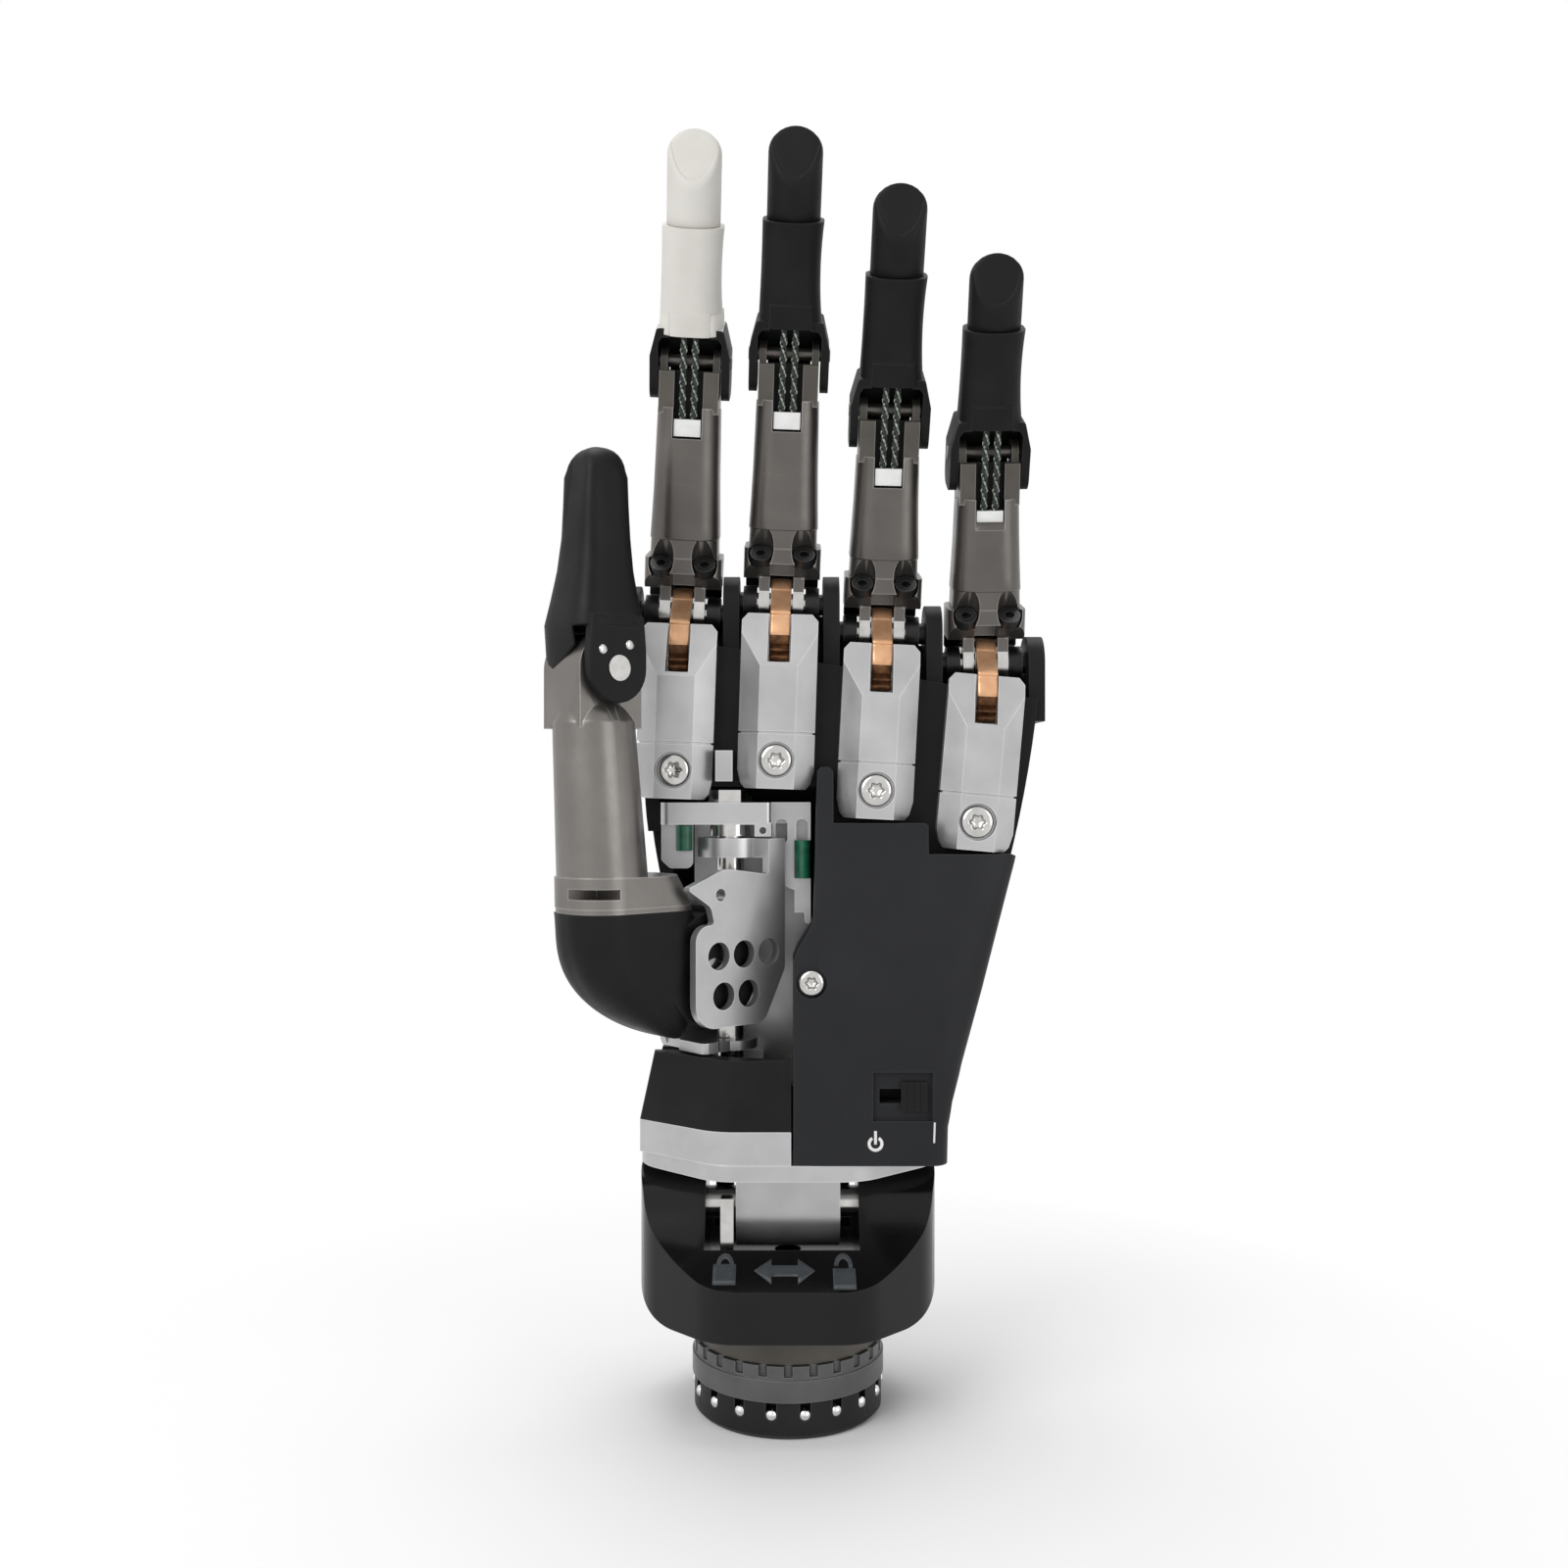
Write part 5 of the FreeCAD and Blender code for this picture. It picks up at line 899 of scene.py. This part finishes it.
# Height above the pin, the section's sides in X and Y there, and how far it is set over to the far arm
THUMB_LEVELS = (
    (7.0, 14.4, 15.0, -0.45), (8.0, 14.3, 14.8, -0.45), (12.0, 12.6, 13.2, -0.45),
    (17.0, 10.9, 11.6, -0.25), (22.6, 10.0, 10.2, 0.0), (28.0, 9.6, 9.6, 0.0),
    (THUMB_END, THUMB_END_SIDE, THUMB_END_SIDE, 0.0),
)
NAIL_FROM = 24.5
NAIL_BEND = 24.0
NAIL_FACE = 4.9
NAIL_SLOPE = 0.09
NAIL_EDGE = -2.0
ARM_RADIUS = 5.9
ARM_TOP = ((ARM_RADIUS, 3.0), (5.4, 9.0), (-5.4, 9.0), (-ARM_RADIUS, 3.0))
NEAR_ARM = (4.9, 6.8)
FAR_ARM = (-8.0, -6.7)
FAR_ARM_SHARE = 0.78
FAR_ARM_FOOT = -3.2
thumb_place = thumb_frame() @ Matrix.Translation(THUMB_PIN)


def thumb_ring(height, side, wide, over, corner, shift=0.0):
    """A squarish section with round corners, and a flat nail face on its outer side near the end."""
    ring = []
    nail = NAIL_FACE - max(height - NAIL_BEND, 0.0) * NAIL_SLOPE
    for step in range(THUMB_STEPS):
        angle = 2 * math.pi * step / THUMB_STEPS
        bulge = squareness(angle, corner)
        x = side / 2 * bulge * math.cos(angle)
        y = wide / 2 * bulge * math.sin(angle) + over
        if height > NAIL_FROM and y > NAIL_EDGE:
            x = min(x, nail)
        ring.append((x + shift, y))
    return level(thumb_place, ring, height)


rings = [thumb_ring(*row, THUMB_CORNER) for row in THUMB_LEVELS]
for step in range(1, THUMB_END_STEPS + 1):
    turn = THUMB_END_TURN * step
    side = THUMB_END_SIDE * math.cos(turn) ** THUMB_END_FULLNESS
    height = THUMB_END + (THUMB_TOP - THUMB_END) * math.sin(turn)
    shift = THUMB_END_SHIFT * step / THUMB_END_STEPS
    rings.append(thumb_ring(height, side, side, 0.0, THUMB_END_CORNER, shift))
thumb_shell = Piece("thumb_shell", "black_plastic").loft(rings)
arm_turns = [math.radians(turn) for turn in range(180, 361, 10)]
near_arm = [(ARM_RADIUS * math.cos(turn), ARM_RADIUS * math.sin(turn)) for turn in arm_turns]
near_arm += ARM_TOP
far_arm = [(x * FAR_ARM_SHARE, max(z, FAR_ARM_FOOT)) for x, z in near_arm]
thumb_shell.slab(thumb_place, near_arm, *NEAR_ARM)
thumb_shell.slab(thumb_place, far_arm, *FAR_ARM)

# The thumb shell's skirt: a thin wall about its outer side that runs lower on one flank
HEM_TOP = 8.0
HEM_LOWEST = -5.0
HEM_RISE = 9.0
HEM_START = -120
HEM_TURN = 8
HEM_ROWS = 8
HEM_COLUMNS = 18
HEM_LEVEL_COLUMNS = 6
HEM_HALF_X = 7.2
HEM_HALF_Y = 7.5
HEM_OVER = -0.45
HEM_WALL = 0.8
HEM_TAPER = 0.1
rings = []
for fall in range(HEM_ROWS + 1):
    outer, inner = [], []
    for step in range(HEM_COLUMNS + 1):
        rise = max(step - HEM_LEVEL_COLUMNS, 0) / (HEM_COLUMNS - HEM_LEVEL_COLUMNS)
        foot = HEM_LOWEST + HEM_RISE * rise
        height = HEM_TOP + (foot - HEM_TOP) * fall / HEM_ROWS
        angle = math.radians(HEM_START + HEM_TURN * step)
        bulge = squareness(angle, THUMB_CORNER)
        for line, wall in ((outer, 0.0), (inner, HEM_WALL)):
            x = (HEM_HALF_X - wall - HEM_TAPER * fall) * bulge * math.cos(angle)
            y = (HEM_HALF_Y - wall) * bulge * math.sin(angle) + HEM_OVER
            line.append(thumb_place @ Vector((x, y, height)))
    rings.append(outer + inner[::-1])
thumb_shell.loft(rings)
item = thumb_shell.build("black_plastic")
soften(item, 0.35, limit=34)
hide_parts("thumb_distal_shell")
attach(item, "thumb_tip")

# Two steel studs in the near arm
STUD_SPOTS = ((-2.2, 4.0), (3.3, 3.0))
STUD_FRONT = 5.6
STUD_STEPS = 24
# Height and radius
STUD_ROWS = ((0, 0.3), (0, 0.85), (1.35, 0.85), (1.5, 0.7), (1.52, 0.2))
studs = Piece("thumb_studs", "steel")
for x, z in STUD_SPOTS:
    seat = thumb_place @ Matrix.Translation((x, STUD_FRONT, z)) @ TO_BACK
    studs.turned(seat, STUD_ROWS, STUD_STEPS)
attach(studs.build("steel"), "thumb_tip")

# Braided cords over each finger's hinge
CORD_APART = 1.05
CORD_LENGTH = 18.6
CORD_BELOW_PIN = 12.2
CORD_DEPTH = 4.2
CORD_TILT = math.radians(5)
CORE_SIDES = 8
BRAID_RADIUS = 0.38
BRAID_WAVE = 0.1
BRAID_PITCH = 5.6
STRANDS = 8
PALE_STRANDS = (0, 2)
STRAND_RADIUS = 0.2
STRAND_SIDES = 5
STRAND_STEPS = 96
cord_steps = [CORD_LENGTH * step / STRAND_STEPS for step in range(STRAND_STEPS + 1)]
toward = Vector((0, -math.sin(CORD_TILT), math.cos(CORD_TILT)))
outward = Vector((0, -math.cos(CORD_TILT), -math.sin(CORD_TILT)))
across = Vector((1, 0, 0))


def strand_offset(strand, step):
    """Where a strand lies about its cord's middle, so far along; half of them wind each way."""
    hand = 1 if strand < STRANDS / 2 else -1
    start = strand * math.pi / 2 + (hand < 0) * math.pi / 4
    turn = start + hand * 2 * math.pi * step / BRAID_PITCH
    weave = math.cos(8 * math.pi * step / BRAID_PITCH + strand * math.pi)
    reach = BRAID_RADIUS + hand * BRAID_WAVE * weave
    return (across * math.cos(turn) + outward * math.sin(turn)) * reach


for finger in FINGERS:
    place = finger_frame(finger, "proximal")
    pin = hinge_pin(finger)
    side_axis = across_of(place)
    cords = Piece(finger + "_cords", "cord", "cord_fleck")
    for side in (-1, 1):
        start = Vector((side * CORD_APART, -CORD_DEPTH, pin.z - CORD_BELOW_PIN))
        core = [place @ (start + toward * step) for step in cord_steps]
        cords.sweep(core, circle(BRAID_RADIUS * MM, CORE_SIDES), side_axis)
        for strand in range(STRANDS):
            line = [place @ (start + toward * step + strand_offset(strand, step)) for step in cord_steps]
            pale = int(strand in PALE_STRANDS)
            section = circle(STRAND_RADIUS * MM, STRAND_SIDES)
            cords.sweep(line, section, side_axis, [pale] * STRAND_STEPS)
    item = cords.build("cord")
    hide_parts(finger + "_tendons")
    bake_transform(item)

# Cover screws with a six-lobed recess
LOBES = 6
LOBE_DEPTH = 0.15
SCREW_STEPS = 48
# Depth from the head's face and share of its radius: the lobed recess, then the head's round outside
RECESS_ROWS = ((1.0, 0.05), (0.95, 0.4), (0.2, 0.44), (0.04, 0.49), (0.0, 0.54))
HEAD_ROWS = ((0.0, 0.72), (0.08, 0.88), (0.3, 0.97), (0.6, 1.0), (1.35, 1.0), (1.4, 0.97), (1.4, 0.55))
# Distance from the screw's far end and share of the head's radius
SHANK_ROWS = ((0.3, 0.55), (0.0, 0.45))


def lobed(radius):
    """A radius that swells at each lobe."""
    return lambda angle: radius * (1 + LOBE_DEPTH * math.cos(LOBES * angle))


screws = Piece("lobed_screws", "steel")
for low, high, _ in bodies_of("cover_screws"):
    head = (high.x - low.x) / 2 / MM
    length = (high.y - low.y) / MM
    axis = Matrix.Translation(((low.x + high.x) / 2, low.y, (low.z + high.z) / 2))
    rows = [(deep, lobed(head * share)) for deep, share in RECESS_ROWS]
    rows += [(deep, head * share) for deep, share in HEAD_ROWS]
    rows += [(length - left, head * share) for left, share in SHANK_ROWS]
    screws.turned(axis @ TO_BACK @ PLAIN, rows, SCREW_STEPS)
item = screws.build("steel")
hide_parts("cover_screws")
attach(item, "palm")

# Copper ribbons over the knuckle drums, down into the covers' slots where they are folded; there their dark brown
# colour is a painted shade
RIBBON_HALF = 1.85
RIBBON_THICK = 0.14
RIBBON_CROWN = 0.1
CROWN_PLACES = (-1.0, -0.75, -0.5, -0.25, 0.0, 0.25, 0.5, 0.75, 1.0)
RIBBON_STEPS = 5
DRUM_REACH = 4.62
DRUM_TURNS = [math.radians(turn) for turn in range(70, 160, 8)]
# Depth and height from the knuckle
RIBBON_RUN = (
    (-5.3, 0.55), (-6.9, -0.9), (-8.15, -2.2), (-8.35, -2.7), (-8.2, -3.1), (-8.9, -4.6), (-9.35, -6.4),
)
RIBBON_FOLDS = ((-8.9, -8.1), (-8.3, -8.8), (-9.0, -9.5), (-8.3, -10.1), (-8.9, -10.8), (-8.3, -11.5))
profile = [(DRUM_REACH * math.cos(turn), DRUM_REACH * math.sin(turn)) for turn in DRUM_TURNS]
profile += RIBBON_RUN + RIBBON_FOLDS
bright = (len(DRUM_TURNS) + len(RIBBON_RUN) - 1) * RIBBON_STEPS
crown = [(RIBBON_HALF * share, RIBBON_CROWN * (1 - share ** 2)) for share in CROWN_PLACES]
section = [(wide * MM, (rise + RIBBON_THICK / 2) * MM) for wide, rise in crown]
section += [(wide * MM, (rise - RIBBON_THICK / 2) * MM) for wide, rise in reversed(crown)]
ribbons = Piece("copper_ribbons", "copper_strip", "copper_in_painted_shade")
for low, high, foot in bodies_of("flex_strips"):
    middle = (low.x + high.x) / 2
    knuckle = min((knuckle_of(finger) for finger in FINGERS), key=lambda spot: abs(spot.x - middle))
    place = cover_frame(knuckle, foot)
    line = smooth_line([place @ Vector((0, deep, rise)) for deep, rise in profile], RIBBON_STEPS)
    # Steps past the bright run take the dark brown painted shade
    finishes = [int(step > bright) for step in range(len(line) - 1)]
    ribbons.sweep(line, section, across_of(place), finishes)
item = ribbons.build("copper_strip")
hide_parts("flex_strips")
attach(item, "palm")

# Printed signs on the palm cover and the wrist housing
PRINT_PROUD = Vector((0, -0.03, 0)) * MM
PRINT_SUNK = Vector((0, 0.12, 0)) * MM
PRINT_COLUMNS = 4
RAY_START = -100
SHACKLE_TOP = 32.2
SHACKLE_STROKE = 0.75
ARROW_HEAD = 3.1
ARROW_HALF = 1.45
ARROW_SHAFT = 0.65
ARROW_POINT = 0.02
ARROW_STEPS = 5
POWER_X = 15.38


def print_sign(name, carrier, material, body, strips):
    """Lays flat strips on a piece's palm side; a strip is a row of point pairs in X and Z."""
    tree = BVHTree.FromObject(carrier, bpy.context.evaluated_depsgraph_get())
    sign = Piece(name, material)
    for pairs in strips:
        rings = []
        for start, end in pairs:
            skin = []
            for column in range(PRINT_COLUMNS + 1):
                x, z = Vector(start).lerp(Vector(end), column / PRINT_COLUMNS)
                skin.append(tree.ray_cast(Vector((x, RAY_START, z)) * MM, Vector((0, 1, 0)))[0])
            front = [point + PRINT_PROUD for point in skin]
            rear = [point + PRINT_SUNK for point in skin]
            rings.append(front + rear[::-1])
        sign.loft(rings)
    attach(sign.build(), body)


def bar_strip(start, end, width, steps=6):
    """A straight bar of a sign, as point pairs."""
    along = Vector(end) - Vector(start)
    side = Vector((-along.y, along.x)).normalized() * width / 2
    places = [Vector(start) + along * step / steps for step in range(steps + 1)]
    return [(place - side, place + side) for place in places]


def arc_strip(centre, inner, outer, start, end, steps=24):
    """Part of a ring, from one angle to another in degrees from +X, as point pairs."""
    pairs = []
    for step in range(steps + 1):
        angle = math.radians(start + (end - start) * step / steps)
        aim = Vector((math.cos(angle), math.sin(angle)))
        pairs.append((Vector(centre) + aim * inner, Vector(centre) + aim * outer))
    return pairs


def padlock(left, right, low, high, shackle_left, shackle_right, left_foot):
    """A padlock's body and shackle, as strips; the shackle's left leg starts at its own height."""
    middle = (shackle_left + shackle_right) / 2
    outer = (shackle_right - shackle_left) / 2
    crown = SHACKLE_TOP - outer
    left_leg = shackle_left + SHACKLE_STROKE / 2
    right_leg = shackle_right - SHACKLE_STROKE / 2
    return [
        bar_strip((left, (low + high) / 2), (right, (low + high) / 2), high - low),
        arc_strip((middle, crown), outer - SHACKLE_STROKE, outer, 0, 180),
        bar_strip((left_leg, left_foot), (left_leg, crown), SHACKLE_STROKE),
        bar_strip((right_leg, high), (right_leg, crown), SHACKLE_STROKE),
    ]


def double_arrow(left, right, height):
    """An arrow with a head at each end, as one strip."""
    marks = [
        (left, ARROW_POINT), (left + ARROW_HEAD, ARROW_HALF),
        (left + ARROW_HEAD + ARROW_POINT, ARROW_SHAFT), (right - ARROW_HEAD - ARROW_POINT, ARROW_SHAFT),
        (right - ARROW_HEAD, ARROW_HALF), (right, ARROW_POINT),
    ]
    pairs = []
    for (x, half), (next_x, next_half) in zip(marks, marks[1:]):
        for step in range(ARROW_STEPS):
            share = step / ARROW_STEPS
            place = x + (next_x - x) * share
            reach = half + (next_half - half) * share
            pairs.append(((place, height - reach), (place, height + reach)))
    pairs.append(((right, height - ARROW_POINT), (right, height + ARROW_POINT)))
    return [pairs]


power_sign = [
    arc_strip((POWER_X, 53.52), 0.85, 1.4, 120, 420),
    bar_strip((POWER_X, 53.4), (POWER_X, 55.8), 0.5),
]
print_sign("power_sign", palm_shell, "white_plastic", "palm", power_sign)
on_mark = [bar_strip((25.7, 53.65), (25.82, 57.3), 0.33)]
print_sign("on_mark", palm_shell, "white_plastic", "palm", on_mark)
lock_signs = padlock(-13.43, -9.32, 28.5, 30.8, -12.9, -9.67, 30.8)
lock_signs += double_arrow(-6.08, 4.85, 30.0)
lock_signs += padlock(7.98, 12.04, 28.1, 30.3, 8.23, 11.57, 30.7)
print_sign("lock_signs", nodes["wrist_housing"], "grey_print", "wrist", lock_signs)

# The floor, in metres: matt under the hand, and plain white paper from a little way off
FLOOR_REACH = 3.0
PAPER_START = 0.03
PAPER_END = 0.16
floor_mesh = bpy.data.meshes.new("floor")
floor_corners = [(x * FLOOR_REACH, y * FLOOR_REACH, 0) for x, y in ((-1, -1), (1, -1), (1, 1), (-1, 1))]
floor_mesh.from_pydata(floor_corners, [], [(0, 1, 2, 3)])
floor = bpy.data.objects.new("floor", floor_mesh)
scene.collection.objects.link(floor)
floor_material = bpy.data.materials.new("floor")
floor_material.use_nodes = True
tree = floor_material.node_tree
matt = tree.nodes["Principled BSDF"]
feed(tree, matt, {"Base Color": (0.93, 0.93, 0.93, 1), "Roughness": 0.9, "Specular IOR Level": 0.1})
paper = tree.nodes.new("ShaderNodeEmission")
feed(tree, paper, {"Color": (1, 1, 1, 1)})
spot = tree.nodes.new("ShaderNodeTexCoord").outputs["Object"]
distance = calculate(tree, "ShaderNodeVectorMath", "LENGTH", spot).outputs["Value"]
blend = tree.nodes.new("ShaderNodeMixShader")
share = spread(tree, distance, 0.0, 1.0, PAPER_START, PAPER_END)
feed(tree, blend, {0: share, 1: matt.outputs[0], 2: paper.outputs[0]})
feed(tree, tree.nodes["Material Output"], {"Surface": blend.outputs[0]})
floor_mesh.materials.append(floor_material)

# A room that looks white to the camera and in reflections, and lights the hand more softly
ROOM_LIGHT = 0.38
world = bpy.data.worlds.new("studio")
scene.world = world
world.use_nodes = True
tree = world.node_tree
rays = tree.nodes.new("ShaderNodeLightPath").outputs
seen = calculate(tree, "ShaderNodeMath", "MAXIMUM", rays["Is Camera Ray"], rays["Is Glossy Ray"])
clear = calculate(tree, "ShaderNodeMath", "MAXIMUM", seen.outputs[0], rays["Is Transmission Ray"])
strength = spread(tree, clear.outputs[0], ROOM_LIGHT, 1.0, 0.0, 1.0)
feed(tree, tree.nodes["Background"], {"Color": (1, 1, 1, 1), "Strength": strength})

# Lamps and camera, placed in metres
HAND_CENTRE = (0.0, 0.0, 0.115)
CAMERA_PLACE = (-0.00074, -0.2887, 0.1169)


def lamp(name, place, size, watts):
    """A rectangular lamp that is aimed at the hand."""
    data = bpy.data.lights.new(name, "AREA")
    data.shape = "RECTANGLE"
    data.size, data.size_y = size
    data.energy = watts
    item = bpy.data.objects.new(name, data)
    item.location = place
    item.rotation_euler = (Vector(HAND_CENTRE) - Vector(place)).to_track_quat("-Z", "Y").to_euler()
    scene.collection.objects.link(item)


lamp("key", (-0.42, -0.5, 0.5), (0.5, 0.5), 3.4)
lamp("fill", (0.55, -0.45, 0.2), (0.4, 0.6), 1.2)
lamp("top", (0.0, 0.1, 0.7), (0.5, 0.4), 2.0)

camera = bpy.data.cameras.new("camera")
camera.sensor_width = 36.0
camera.lens = 35.0
camera.clip_start = 0.01
viewer = bpy.data.objects.new("camera", camera)
viewer.location = CAMERA_PLACE
viewer.rotation_euler = (math.radians(90), 0, 0)
scene.collection.objects.link(viewer)
scene.camera = viewer
scene.view_settings.view_transform = "Standard"
